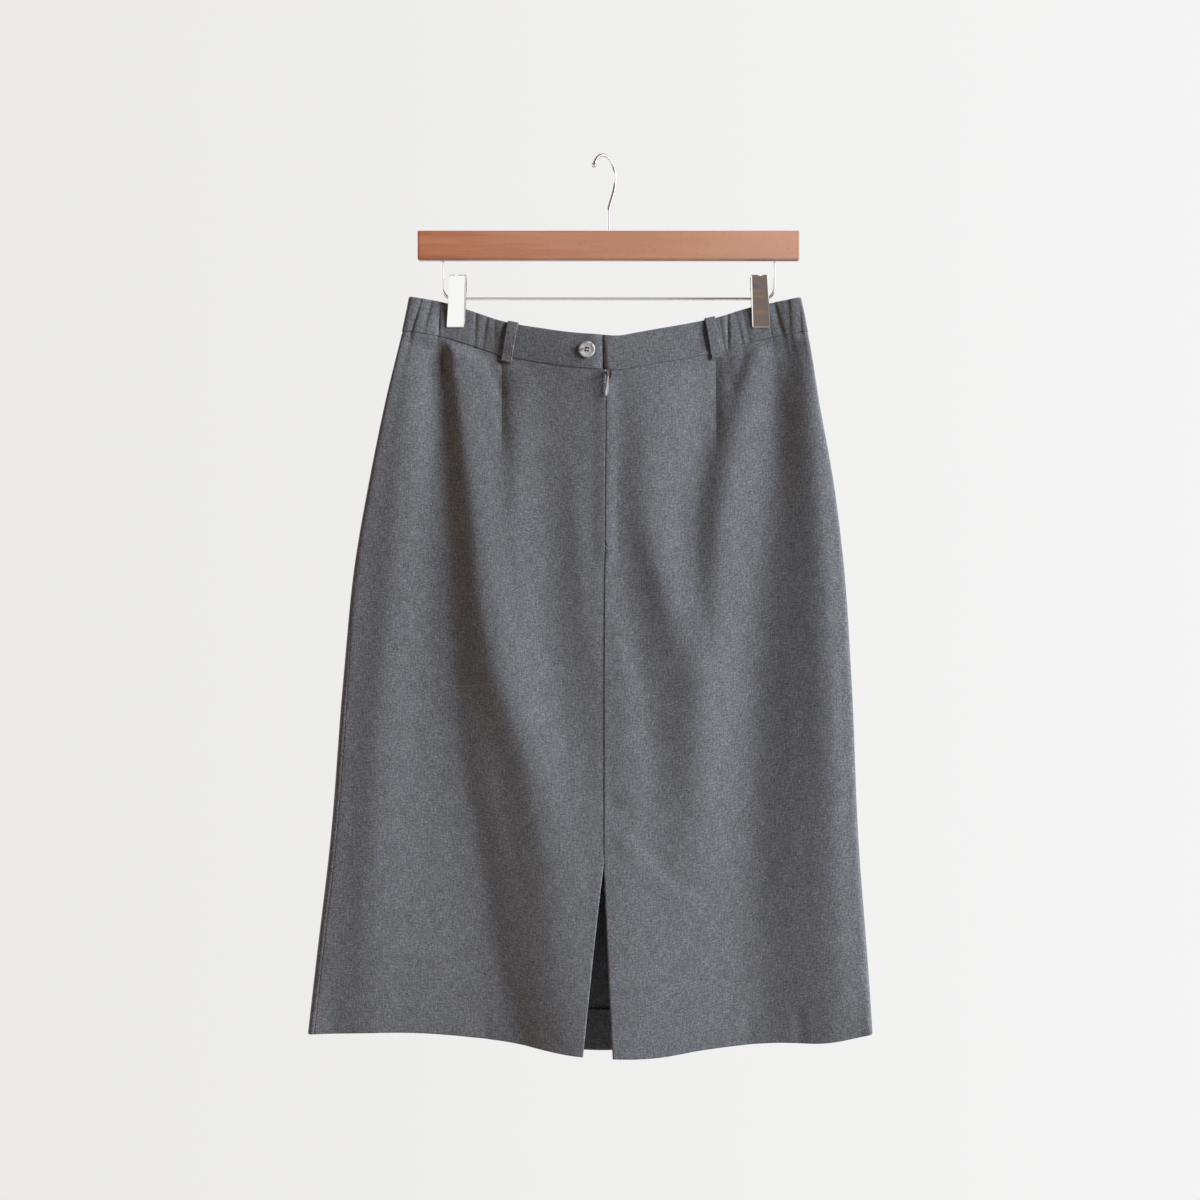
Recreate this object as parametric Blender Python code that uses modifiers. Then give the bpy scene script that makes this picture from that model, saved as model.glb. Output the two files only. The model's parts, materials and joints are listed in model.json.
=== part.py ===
"""A straight wool midi skirt, hung by its waistband from two clips on a wooden bar hanger.

Metres, +Z up. The origin is the inner top of the hanger's hook. The garment's back, with its
zip and slit, faces -Y. Inside the hanging frame x = 0 and y = 0 lie on the hook's stem, and
heights are given as distances below the hook.
"""

import math
from bisect import bisect_right

import bmesh
import bpy
import numpy as np
from mathutils import Matrix, Vector

GAP = 0.0003  # between pieces that meet

# Cloth
PANEL_WALL = 0.0013
BAND_WALL = 0.0028
BAND_HEIGHT = 0.033
LOOP_WALL = 0.0016
LOOP_WIDTH = 0.0098
HEM_SIDE_BELOW = 0.825
WAIST_SIDE_BELOW = 0.1316
EDGE_SOFT = 0.45  # folds and pinches fade out over this share of the turn to the edge
HANG_START = 0.25  # folds are full from this level down

# Each row is one height of the tube, read at its two sides: how far below the hook it lies,
# where its left and right edges are, its depth at the centre, and how much deeper it is
# towards the sides, as a share of that depth.
SECTIONS = np.array([
    # below, left, right, depth, shoulders
    (0.125, -0.1870, 0.1800, 0.0130, 1.50),
    (0.164, -0.1950, 0.1885, 0.0140, 1.50),
    (0.229, -0.2103, 0.1989, 0.0155, 1.40),
    (0.304, -0.2254, 0.2122, 0.0170, 1.40),
    (0.380, -0.2386, 0.2216, 0.0185, 1.50),
    (0.493, -0.2500, 0.2292, 0.0200, 1.70),
    (0.645, -0.2622, 0.2358, 0.0210, 2.10),
    (0.758, -0.2755, 0.2443, 0.0220, 2.50),
    (0.850, -0.2860, 0.2505, 0.0220, 2.80),
])

# The waistband's top edge sags between the clips.
WAIST_LINE = np.array([
    # across, below
    (-0.187, 0.1314), (-0.155, 0.1370), (-0.133, 0.1436), (-0.100, 0.1545), (-0.060, 0.1612),
    (0.000, 0.1680), (0.040, 0.1638), (0.080, 0.1563), (0.102, 0.1512), (0.132, 0.1420),
    (0.155, 0.1370), (0.180, 0.1320),
])

# The hem hangs lowest at the slit, and the front's follows it more evenly.
BACK_HEM_LINE = np.array([
    # across, below
    (-0.284, 0.8250), (-0.170, 0.8245), (-0.103, 0.8313), (-0.024, 0.8447), (0.045, 0.8465),
    (0.090, 0.8400), (0.158, 0.8340), (0.205, 0.8335), (0.249, 0.8250),
])
FRONT_HEM_LINE = np.array([
    # across, below
    (-0.284, 0.8250), (-0.150, 0.8310), (-0.015, 0.8450), (0.120, 0.8330), (0.249, 0.8250),
])

# Long soft folds: where each one lies across the tube at five heights, its width, and how far
# it stands out there (a ridge) or sinks in (a trough).
FOLD_BELOW = np.array([0.22, 0.37, 0.52, 0.67, 0.83])
BACK_FOLDS = [
    # name, across at the five heights, rise at the five heights, half width
    ("left clip trough", (-0.160, -0.157, -0.151, -0.132, -0.090),
     (-0.004, -0.006, -0.007, -0.007, -0.006), 0.030),
    ("left ridge", (-0.125, -0.121, -0.093, -0.060, -0.030),
     (0.003, 0.006, 0.008, 0.007, 0.006), 0.026),
    ("seam valley", (0.020, 0.030, 0.064, 0.056, 0.046),
     (0.000, -0.003, -0.005, -0.004, -0.003), 0.024),
    ("right ridge", (0.138, 0.110, 0.098, 0.090, 0.086),
     (0.003, 0.004, 0.007, 0.005, 0.004), 0.022),
    ("right trough", (0.165, 0.158, 0.139, 0.124, 0.112),
     (-0.004, -0.005, -0.006, -0.005, -0.004), 0.026),
]
FRONT_FOLDS = [
    ("left trough", (-0.155, -0.150, -0.140, -0.120, -0.105),
     (-0.004, -0.005, -0.006, -0.006, -0.005), 0.028),
    ("left ridge", (-0.115, -0.105, -0.085, -0.070, -0.060),
     (0.002, 0.004, 0.006, 0.006, 0.005), 0.026),
    ("middle trough", (-0.010, 0.000, 0.010, 0.012, 0.015),
     (-0.001, -0.003, -0.004, -0.005, -0.005), 0.030),
    ("right ridge", (0.120, 0.105, 0.090, 0.085, 0.085),
     (0.003, 0.005, 0.006, 0.006, 0.005), 0.026),
    ("right trough", (0.160, 0.155, 0.145, 0.135, 0.130),
     (-0.004, -0.005, -0.006, -0.005, -0.004), 0.026),
]

# Darts, each a stitched crease that runs out to nothing
DART_ACROSS = (-0.1005, 0.1015)
DART_LENGTH = 0.105
DART_DEEP = 0.0016
DART_WIDE = 0.0045

# Centre back: the seam, its lapped zip and its slit
SEAM_ACROSS = -0.0042
SEAM_TOP_ACROSS = -0.0024
SLIT_TOP_BELOW = 0.669
SLIT_LEFT_ACROSS = -0.0241
SLIT_RIGHT_ACROSS = 0.0042
ZIP_END_BELOW = 0.378
LAP_RISE = 0.0017
LAP_WIDE = 0.014
UNDERLAP = 0.003
TAPE_WIDE = 0.022
TAPE_WALL = 0.0009
SLIDER_ACROSS = (-0.0020, 0.0019)
SLIDER_BELOW = (0.2012, 0.2092)

# The waistband's back end laps over an extension with the button on it.
BAND_END_ACROSS = -0.0055
BAND_UNDER_ACROSS = -0.0380
BAND_LAP_RISE = BAND_WALL + GAP
LOOP_SEAM_ACROSS = (-0.0928, 0.0985)
LOOP_LEAN = 0.0045
LOOP_STAND = 0.0030
TUCKS = 22
TUCK_DEEP = 0.0011
TUCK_CLIP_CLEAR = (0.0055, 0.010)
BUTTON_ACROSS = -0.0203
BUTTON_BELOW = 0.1810
BUTTON_RADIUS = 0.0078

# Clips
CLIP_ACROSS = 0.1430
CLIP_HALF_WIDE = 0.0087
CLIP_TOP_HALF_WIDE = 0.0078
CLIP_TOP_BELOW = 0.1115
CLIP_HEIGHT = 0.0490
CLIP_WALL = 0.0009
CLIP_FLANGE = 0.0040
CLIP_LIP = 0.0005
CLIP_TOP_OUT = 0.0088
PINCHED = GAP + BAND_WALL
PINCH_MARGIN = 0.0015
PINCH_OUTER_REACH = 0.020
PINCH_INNER_REACH = 0.055
PINCH_FADE = 0.15
SPRING_RADIUS = 0.0042
SPRING_LONG = 0.0120

# Hanger
BAR_LENGTH = 0.360
BAR_TOP_BELOW = 0.0695
BAR_HEIGHT = 0.0275
BAR_THICK = 0.0135
BAR_EDGE = 0.0016
RAIL_RADIUS = 0.0013
RAIL_HALF_LONG = 0.1565
RAIL_BELOW = 0.1332
RAIL_BEND = 0.0100
SOCKET_DEEP = 0.0120
HOOK_RADIUS = 0.0015
CROOK_RADIUS = 0.0185
CROOK_SET = 0.0075
HOOK_TURN = math.radians(56.0)
HOOK_TIP = math.radians(154.0)
HOOK_BALL = 0.0023

# The zip's pull tab
PULL_LONG = 0.0250
PULL_WALL = 0.0010
PULL_HEAD_RADIUS = 0.0007


def curve_through(keys, values):
    """A function that passes smoothly through the values at their keys."""
    keys, values = [float(k) for k in keys], [float(v) for v in values]
    slopes = [float(slope) for slope in np.gradient(values, keys)]

    def value_at(at):
        i = min(max(bisect_right(keys, at) - 1, 0), len(keys) - 2)
        step = keys[i + 1] - keys[i]
        t = min(max((at - keys[i]) / step, 0.0), 1.0)
        rise = t * t * (3 - 2 * t)
        into = t * (1 - t) ** 2 * step * slopes[i]
        out = t * t * (1 - t) * step * slopes[i + 1]
        return values[i] + (values[i + 1] - values[i]) * rise + into - out

    return value_at


def ease(low, high, at):
    """0 below low, 1 above high, and a soft step between."""
    t = min(max((at - low) / (high - low), 0.0), 1.0)
    return t * t * (3 - 2 * t)


def mix(a, b, share):
    return a + (b - a) * share


# ---------------------------------------------------------------- the tube of cloth
# A point on it has a turn and a level. The turn is an angle: 0 is the middle of the back,
# 90 degrees the right edge, 180 the middle of the front and 270 (or -90) the left edge.
# The level is -1 at the waistband's top, 0 at its seam and 1 at the hem.


section_left, section_right, section_depth, section_shoulders = (
    curve_through(SECTIONS[:, 0], SECTIONS[:, column]) for column in (1, 2, 3, 4))
waist_below, back_hem_below, front_hem_below = (
    curve_through(*line.T) for line in (WAIST_LINE, BACK_HEM_LINE, FRONT_HEM_LINE))
back_folds, front_folds = (
    [(curve_through(FOLD_BELOW, path), curve_through(FOLD_BELOW, rises), wide)
     for _, path, rises, wide in folds] for folds in (BACK_FOLDS, FRONT_FOLDS))


def fold_rise(folds, across, below):
    return sum(rise(below) * math.exp(-(((across - centre(below)) / wide) ** 2))
               for centre, rise, wide in folds)


def pinch(across, level):
    """How firmly the clips hold both layers together here, from 0 to 1."""
    off = abs(across) - CLIP_ACROSS
    past = max(abs(off) - CLIP_HALF_WIDE - PINCH_MARGIN, 0.0)
    reach = PINCH_OUTER_REACH if off > 0 else PINCH_INNER_REACH
    return math.exp(-((past / reach) ** 2)) * math.exp(-((max(level, 0.0) / PINCH_FADE) ** 2))


def tube(turn, level):
    below_side = WAIST_SIDE_BELOW + BAND_HEIGHT * (1 + level)
    if level > 0:
        below_side = mix(WAIST_SIDE_BELOW + BAND_HEIGHT, HEM_SIDE_BELOW, level)
    across = mix(section_left(below_side), section_right(below_side), (1 + math.sin(turn)) / 2)
    facing = math.cos(turn)
    back = facing >= 0
    band_seam = waist_below(across) + BAND_HEIGHT
    hem = back_hem_below(across) if back else front_hem_below(across)
    below = mix(band_seam, hem, level) if level > 0 else band_seam + BAND_HEIGHT * level
    out = section_depth(below_side) * abs(facing)
    out *= 1 + section_shoulders(below_side) * math.sin(turn) ** 2
    edge = ease(0.0, EDGE_SOFT, abs(facing))
    out = mix(out, PINCHED, pinch(across, level) * edge)
    hang = ease(0.0, HANG_START, level)
    out += hang * edge * fold_rise(back_folds if back else front_folds, across, below)
    return Vector((across, -out if back else out, -below))


def outward(turn, level):
    """The tube's unit normal."""
    d_turn = tube(turn + 0.004, level) - tube(turn - 0.004, level)
    d_level = tube(turn, level + 0.003) - tube(turn, level - 0.003)
    return d_level.cross(d_turn).normalized()


def turn_at(across, level, front=False):
    """The turn where the tube passes this far across."""
    low = tube(-math.pi / 2, level).x
    high = tube(math.pi / 2, level).x
    turn = math.asin(min(max(2 * (across - low) / (high - low) - 1, -1.0), 1.0))
    return math.pi - turn if front else turn


def nudge(turn, level, distance):
    """A turn moved along the cloth by a distance."""
    speed = (tube(turn + 0.002, level) - tube(turn - 0.002, level)).length / 0.004
    return turn + distance / speed


def even_turns(start, end, level, count):
    """Turns from start to end, evenly spaced along the cloth."""
    fine = np.linspace(start, end, 240)
    points = [tube(turn, level) for turn in fine]
    steps = [(b - a).length for a, b in zip(points, points[1:])]
    length = np.concatenate([[0.0], np.cumsum(steps)])
    return list(np.interp(np.linspace(0, length[-1], count), length, fine))


# ---------------------------------------------------------------- building
def new_material(name, colour, roughness, metallic=0.0):
    material = bpy.data.materials.new(name)
    material.use_nodes = True
    shader = material.node_tree.nodes["Principled BSDF"]
    shader.inputs["Base Color"].default_value = (*colour, 1.0)
    shader.inputs["Roughness"].default_value = roughness
    shader.inputs["Metallic"].default_value = metallic
    return material


def add(name, mesh, material, sharp=math.radians(35)):
    piece = bpy.data.objects.new(name, mesh)
    parts.objects.link(piece)
    piece.parent = hanging
    mesh.materials.append(material)
    mesh.shade_smooth()
    mesh.set_sharp_from_angle(angle=sharp)
    return piece


def cloth(name, rows, wall, material):
    """A closed wall. Each row is a list of (turn, level, lift): the lift is the outer face's
    distance outside the tube, and the inner face lies one wall further in."""
    mesh = bpy.data.meshes.new(name)
    shell = bmesh.new()
    faces = []
    for depth in (0.0, wall):
        grid = []
        for row in rows:
            grid.append([
                shell.verts.new(tube(turn, level) + outward(turn, level) * (lift - depth))
                for turn, level, lift in row
            ])
        faces.append(grid)
    outer, inner = faces
    last_row, last_column = len(rows) - 1, len(rows[0]) - 1
    for r in range(last_row):
        for c in range(last_column):
            shell.faces.new((outer[r][c], outer[r + 1][c], outer[r + 1][c + 1], outer[r][c + 1]))
            shell.faces.new((inner[r][c], inner[r][c + 1], inner[r + 1][c + 1], inner[r + 1][c]))
    for r in range(last_row):
        shell.faces.new((outer[r][0], inner[r][0], inner[r + 1][0], outer[r + 1][0]))
        shell.faces.new((outer[r][-1], outer[r + 1][-1], inner[r + 1][-1], inner[r][-1]))
    for c in range(last_column):
        shell.faces.new((outer[0][c], outer[0][c + 1], inner[0][c + 1], inner[0][c]))
        shell.faces.new((outer[-1][c], inner[-1][c], inner[-1][c + 1], outer[-1][c + 1]))
    bmesh.ops.triangulate(shell, faces=shell.faces)
    shell.to_mesh(mesh)
    shell.free()
    return add(name, mesh, material)


def box_mesh(name, low, high, bevel=0.0, segments=2):
    """A box between two corners, its edges rounded."""
    low, high = Vector(low), Vector(high)
    shell = bmesh.new()
    size = Matrix.Diagonal((*(high - low), 1.0))
    bmesh.ops.create_cube(shell, size=1.0, matrix=Matrix.Translation((low + high) / 2) @ size)
    if bevel:
        bmesh.ops.bevel(shell, geom=shell.edges[:], offset=bevel, segments=segments,
                        profile=0.5, affect="EDGES")
    mesh = bpy.data.meshes.new(name)
    shell.to_mesh(mesh)
    shell.free()
    return mesh


def rod_mesh(name, radius, start, end, sides=12):
    """A closed cylinder between two points."""
    start, end = Vector(start), Vector(end)
    shell = bmesh.new()
    along = end - start
    place = Matrix.Translation((start + end) / 2) @ along.to_track_quat("Z", "Y").to_matrix().to_4x4()
    bmesh.ops.create_cone(shell, cap_ends=True, segments=sides, radius1=radius, radius2=radius,
                          depth=along.length, matrix=place)
    mesh = bpy.data.meshes.new(name)
    shell.to_mesh(mesh)
    shell.free()
    return mesh


def cutter(mesh):
    piece = bpy.data.objects.new(mesh.name, mesh)
    cutters.objects.link(piece)
    piece.parent = hanging
    piece.hide_render = True
    piece.display_type = "WIRE"
    return piece


def combine(piece, other, operation):
    boolean = piece.modifiers.new(f"{operation.lower()} {other.name}", "BOOLEAN")
    boolean.operation = operation
    boolean.solver = "EXACT"
    boolean.object = other


def wire(name, points, radius, material, sizes=None):
    """A bent wire of round section with closed ends."""
    curve = bpy.data.curves.new(name, "CURVE")
    curve.dimensions = "3D"
    curve.bevel_depth = radius
    curve.bevel_resolution = 2
    curve.use_fill_caps = True
    spline = curve.splines.new("POLY")
    spline.points.add(len(points) - 1)
    for i, point in enumerate(points):
        spline.points[i].co = (*point, 1.0)
        spline.points[i].radius = sizes[i] if sizes else 1.0
    piece = bpy.data.objects.new(name, curve)
    parts.objects.link(piece)
    piece.parent = hanging
    curve.materials.append(material)
    return piece


# ---------------------------------------------------------------- cloth pieces
LEVEL_GAP = GAP / 2 / (HEM_SIDE_BELOW - WAIST_SIDE_BELOW - BAND_HEIGHT)
BAND_LEVEL_GAP = GAP / 2 / BAND_HEIGHT


def side_seam(level, right):
    """The side seams lie on the tube's edges; the left one rolls towards the back."""
    if right:
        return math.radians(90 + 4 * ease(0.0, 0.3, level))
    return math.radians(-90 + 10 * ease(0.15, 0.55, level))


def centre_back(level, right):
    """How far across a back panel's centre edge lies."""
    below = -tube(0.0, level).z
    seam = mix(SEAM_TOP_ACROSS, SEAM_ACROSS, ease(0.20, 0.50, below))
    open_share = max(below - SLIT_TOP_BELOW, 0.0) / (0.845 - SLIT_TOP_BELOW)
    if not right:
        return mix(seam, SLIT_LEFT_ACROSS, open_share) - GAP / 2
    tucked = ease(SLIDER_BELOW[1] + 0.002, SLIDER_BELOW[1] + 0.014, below)
    tucked *= 1 - ease(ZIP_END_BELOW - 0.016, ZIP_END_BELOW - 0.006, below)
    seam -= (UNDERLAP + GAP) * tucked
    clear = SLIDER_ACROSS[1] + GAP - SEAM_TOP_ACROSS
    seam += clear * (1 - ease(SLIDER_BELOW[1] + 0.002, SLIDER_BELOW[1] + 0.014, below))
    return mix(seam, SLIT_RIGHT_ACROSS, open_share ** 1.3) + GAP / 2


def lap_lift(across, level):
    """The left panel stands off where it laps over the zip."""
    point = tube(turn_at(across, level), level)
    along = ease(0.0, LAP_WIDE, across + LAP_WIDE - centre_back(level, False))
    return LAP_RISE * along * (1 - ease(ZIP_END_BELOW, ZIP_END_BELOW + 0.012, -point.z))


def dart_dip(off, level):
    """A dart's crease, deepest at the waistband, by the distance from its line."""
    below_band = level * (HEM_SIDE_BELOW - WAIST_SIDE_BELOW - BAND_HEIGHT)
    fade = 1 - ease(0.35 * DART_LENGTH, DART_LENGTH, below_band)
    return -DART_DEEP * fade * max(1 - abs(off) / DART_WIDE, 0.0)


PANEL_LEVELS = [LEVEL_GAP, 0.014, 0.036, 0.07, 0.11, 0.16, 0.21, 0.265, 0.295, 0.325,
                0.38, 0.46, 0.54, 0.62, 0.70, 0.735, 0.80, 0.87, 0.94, 1.0]


def back_panel(name, right):
    dart = DART_ACROSS[1 if right else 0]
    rows = []
    for level in PANEL_LEVELS:
        seam = nudge(side_seam(level, right), level, -GAP / 2 if right else GAP / 2)
        centre = centre_back(level, right)
        outer_dart, inner_dart = (dart + DART_WIDE * s for s in ((1, -1) if right else (-1, 1)))
        turns = list(np.linspace(seam, turn_at(outer_dart, level), 6))
        turns += [turn_at(dart, level)]
        lap_start = centre - LAP_WIDE * (-1 if right else 1)
        turns += list(np.linspace(turn_at(inner_dart, level), turn_at(lap_start, level), 5))
        turns += [turn_at(mix(lap_start, centre, s), level) for s in (0.5, 1.0)]
        row = []
        for turn in sorted(turns):
            across = tube(turn, level).x
            lift = dart_dip(across - dart, level)
            if not right:
                lift += lap_lift(across, level)
            row.append((turn, level, lift))
        rows.append(row)
    return cloth(name, rows, PANEL_WALL, wool)


def front_panel():
    rows = []
    for level in PANEL_LEVELS:
        start = nudge(side_seam(level, True), level, GAP / 2)
        end = nudge(side_seam(level, False) + 2 * math.pi, level, -GAP / 2)
        turns = []
        stops = [start] + [turn_at(d + s * DART_WIDE, level, True)
                           for d in reversed(DART_ACROSS) for s in (1, -1)] + [end]
        for i in (0, 2, 4):
            turns += list(np.linspace(stops[i], stops[i + 1], 11 if i == 2 else 6))
        turns += [turn_at(d, level, True) for d in DART_ACROSS]
        row = []
        for turn in sorted(turns):
            across = tube(turn, level).x
            lift = sum(dart_dip(across - d, level) for d in DART_ACROSS)
            row.append((turn, level, lift))
        rows.append(row)
    return cloth("front_panel", rows, PANEL_WALL, wool)


BAND_LEVELS = [-1.0, -0.5, -BAND_LEVEL_GAP]


def band_lap(across):
    return BAND_LAP_RISE * ease(-0.060, -0.042, across)


def plain_band(name, start, end, count, front=False, lift=None):
    """A flat stretch of the waistband between two places across."""
    rows = []
    for level in BAND_LEVELS:
        first = nudge(turn_at(start, level, front), level, GAP / 2)
        last = nudge(turn_at(end, level, front), level, -GAP / 2)
        rows.append([(turn, level, lift(tube(turn, level).x) if lift else 0.0)
                     for turn in np.linspace(first, last, count)])
    return cloth(name, rows, BAND_WALL, wool_band)


def gathered_band(name, right):
    """The side of the waistband, drawn up into tucks by its elastic."""
    across = LOOP_SEAM_ACROSS[1 if right else 0]
    rows = []
    for level in BAND_LEVELS:
        back = turn_at(across, level)
        front = turn_at(across, level, True)
        start, end = (back, front) if right else (front - 2 * math.pi, back)
        start, end = nudge(start, level, GAP / 2), nudge(end, level, -GAP / 2)
        row = []
        for i, turn in enumerate(even_turns(start, end, level, 2 * TUCKS + 1)):
            here = abs(tube(turn, level).x)
            past_clip = abs(here - CLIP_ACROSS) - CLIP_HALF_WIDE
            free = ease(*TUCK_CLIP_CLEAR, past_clip)
            free *= ease(LOOP_WIDTH, LOOP_WIDTH * 1.6, here - abs(across))
            row.append((turn, level, TUCK_DEEP * (i % 2) * free))
        rows.append(row)
    return cloth(name, rows, BAND_WALL, wool_band)


def belt_loop(name, right, front=False):
    """A folded strip, stitched down at both ends and standing clear of the band between."""
    seam = LOOP_SEAM_ACROSS[1 if right else 0]
    lean = LOOP_LEAN * (-0.5 if not right else 0.5)
    stitched = PANEL_LEVELS[1] * 0.45
    rows = []
    for level in (-0.985, -0.93, -0.80, -0.55, -0.25, -0.08, 0.0, stitched):
        share = 1 + level
        middle = seam + lean * (2 * share - 1)
        stand = LOOP_STAND * ease(0.0, 0.30, share) * ease(0.0, 0.35, 1.0 - share)
        turns = sorted(turn_at(middle + LOOP_WIDTH * s, level, front) for s in (-0.5, 0.0, 0.5))
        rows.append([(turn, level, LOOP_WALL + GAP + stand) for turn in turns])
    return cloth(name, rows, LOOP_WALL, wool)


def zip_tape():
    """The zip's tape and closed teeth, one strip behind the lap."""
    rows = []
    for level in np.linspace(0.004, 0.285, 9):
        centre = mix(SEAM_TOP_ACROSS, SEAM_ACROSS, ease(0.20, 0.50, -tube(0.0, level).z))
        turns = [turn_at(centre + TAPE_WIDE * s, level) for s in (-0.5, 0.0, 0.5)]
        rows.append([(turn, level, -PANEL_WALL - GAP) for turn in turns])
    return cloth("zip_tape", rows, TAPE_WALL, zip_cloth)


# ---------------------------------------------------------------- button and zip
def button():
    """A four-hole button with a raised rim, turned from a profile."""
    thick, rim, dish = 0.0034, 0.0018, 0.0009
    profile = [
        (0.0, thick - dish), (BUTTON_RADIUS - rim - 0.0012, thick - dish),
        (BUTTON_RADIUS - rim, thick), (BUTTON_RADIUS - 0.0006, thick - 0.0002),
        (BUTTON_RADIUS, thick - 0.0010), (BUTTON_RADIUS - 0.0004, 0.0008),
        (BUTTON_RADIUS - 0.0022, 0.0), (0.0, 0.0),
    ]
    mesh = bpy.data.meshes.new("button")
    mesh.from_pydata([(r, 0.0, z) for r, z in profile],
                     [(i, i + 1) for i in range(len(profile) - 1)], [])
    piece = add("button", mesh, horn)
    turned = piece.modifiers.new("turned", "SCREW")
    turned.steps = turned.render_steps = 24
    turned.use_merge_vertices = True
    turned.merge_threshold = 0.00005
    turn = turn_at(BUTTON_ACROSS, -0.4)
    seat = tube(turn, -0.4)
    seat.z = -BUTTON_BELOW
    facing = outward(turn, -0.4)
    stand = band_lap(BUTTON_ACROSS) + GAP + 0.0004
    place = Matrix.Translation(seat + facing * stand) @ facing.to_track_quat("Z", "Y").to_matrix().to_4x4()
    piece.matrix_local = place
    for i in range(4):
        angle = math.radians(45 + 90 * i)
        spot = Vector((math.cos(angle), math.sin(angle), 0)) * 0.0019
        hole = cutter(rod_mesh(f"button_hole_{i}", 0.0008, spot - Vector((0, 0, 0.002)),
                               spot + Vector((0, 0, 0.006)), 8))
        hole.matrix_local = place
        combine(piece, hole, "DIFFERENCE")
    return piece


def surface_y(across, below):
    """The back's plain surface here, below the waistband."""
    low, high = 0.0, 1.0
    for _ in range(30):
        level = (low + high) / 2
        if -tube(turn_at(across, level), level).z < below:
            low = level
        else:
            high = level
    return tube(turn_at(across, low), low).y


def zip_slider():
    """The slider sits on the teeth, with two lugs that hold the pull tab's pin."""
    left, right = SLIDER_ACROSS
    top, bottom = SLIDER_BELOW
    face = surface_y(0.0, top)
    back, front = face + PANEL_WALL, face - 0.0012
    body = add("zip_slider", box_mesh("zip_slider", (left, front, -bottom), (right, back, -top), 0.0005),
               nickel)
    for i, (low, high) in enumerate(((left, left + 0.0009), (right - 0.0009, right))):
        lug = cutter(box_mesh(f"slider_lug_{i}", (low, PULL_Y - 0.0013, PULL_Z - 0.0013),
                              (high, front + 0.0006, PULL_Z + 0.0013)))
        combine(body, lug, "UNION")
    return body


def zip_pull():
    """The pull tab: a round head between the slider's lugs and a flat drop below it."""
    outline = [
        # half width, below the pin
        (0.0008, 0.0000), (0.0008, 0.0060), (0.0013, 0.0105), (0.0021, 0.0165), (0.0024, 0.0205),
        (0.0021, 0.0232), (0.0012, 0.0247), (0.0004, PULL_LONG),
    ]
    shell = bmesh.new()
    sides = []
    for depth in (-PULL_WALL / 2, PULL_WALL / 2):
        right = [shell.verts.new((w, depth, -d)) for w, d in outline]
        left = [shell.verts.new((-w, depth, -d)) for w, d in reversed(outline)]
        sides.append(right + left)
    front, back = sides
    shell.faces.new(front[::-1])
    shell.faces.new(back)
    for i in range(len(front)):
        j = (i + 1) % len(front)
        shell.faces.new((front[i], front[j], back[j], back[i]))
    bmesh.ops.recalc_face_normals(shell, faces=shell.faces)
    mesh = bpy.data.meshes.new("zip_pull")
    shell.to_mesh(mesh)
    shell.free()
    piece = add("zip_pull", mesh, nickel)
    place = Matrix.Translation((PULL_X, PULL_Y, PULL_Z))
    piece.matrix_local = place
    head = cutter(rod_mesh("pull_head", PULL_HEAD_RADIUS, (-0.00082, 0, 0), (0.00082, 0, 0), 10))
    head.matrix_local = place
    combine(piece, head, "UNION")
    return piece


# ---------------------------------------------------------------- hanger
def hanger_bar():
    top, bottom = -BAR_TOP_BELOW, -BAR_TOP_BELOW - BAR_HEIGHT
    bar = add("hanger_bar", box_mesh("hanger_bar", (-BAR_LENGTH / 2, -BAR_THICK / 2, bottom),
                                     (BAR_LENGTH / 2, BAR_THICK / 2, top), BAR_EDGE), wood)
    clear = GAP * 1.2
    sockets = [("stem_socket", 0.0, HOOK_RADIUS, top - SOCKET_DEEP, top + 0.004)]
    sockets += [(f"rail_socket_{i}", x, RAIL_RADIUS, bottom - 0.004, bottom + SOCKET_DEEP)
                for i, x in enumerate((-RAIL_HALF_LONG, RAIL_HALF_LONG))]
    for name, x, radius, low, high in sockets:
        hole = cutter(rod_mesh(name, radius + clear, (x, 0, low), (x, 0, high), 16))
        combine(bar, hole, "DIFFERENCE")
    return bar


def hook_points():
    """The crook's arc, from the ball to its far side, then a soft bend down to the stem."""
    across = Vector((math.cos(HOOK_TURN), math.sin(HOOK_TURN), 0))
    centre_below = CROOK_RADIUS - HOOK_RADIUS
    flat = []
    for angle in np.linspace(HOOK_TIP, 0, 19):
        flat.append((CROOK_RADIUS * math.cos(angle) - CROOK_SET,
                     CROOK_RADIUS * math.sin(angle) - centre_below))
    side = CROOK_RADIUS - CROOK_SET
    bend = [(side, -centre_below), (side + 0.0008, -0.0340), (-0.0008, -0.0430), (0.0, -0.0520)]
    for t in np.linspace(0, 1, 10)[1:]:
        weights = ((1 - t) ** 3, 3 * t * (1 - t) ** 2, 3 * t * t * (1 - t), t ** 3)
        flat.append(tuple(sum(w * p[i] for w, p in zip(weights, bend)) for i in (0, 1)))
    flat.append((0.0, -BAR_TOP_BELOW - SOCKET_DEEP + GAP))
    return [across * p + Vector((0, 0, z)) for p, z in flat]


def hanger_hook():
    points = hook_points()
    sizes = [1.0] * len(points)
    along = (points[0] - points[1]).normalized()
    start = points[0]
    ball = [(1.0, 0.30), (0.80, 0.75), (0.45, 0.97), (0.0, 1.0), (-0.45, 0.97), (-0.75, 0.80)]
    points = [start + along * HOOK_BALL * (0.75 + d) for d, _ in ball] + points
    sizes = [HOOK_BALL * s / HOOK_RADIUS for _, s in ball] + sizes
    return wire("hanger_hook", points, HOOK_RADIUS, chrome, sizes)


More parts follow.
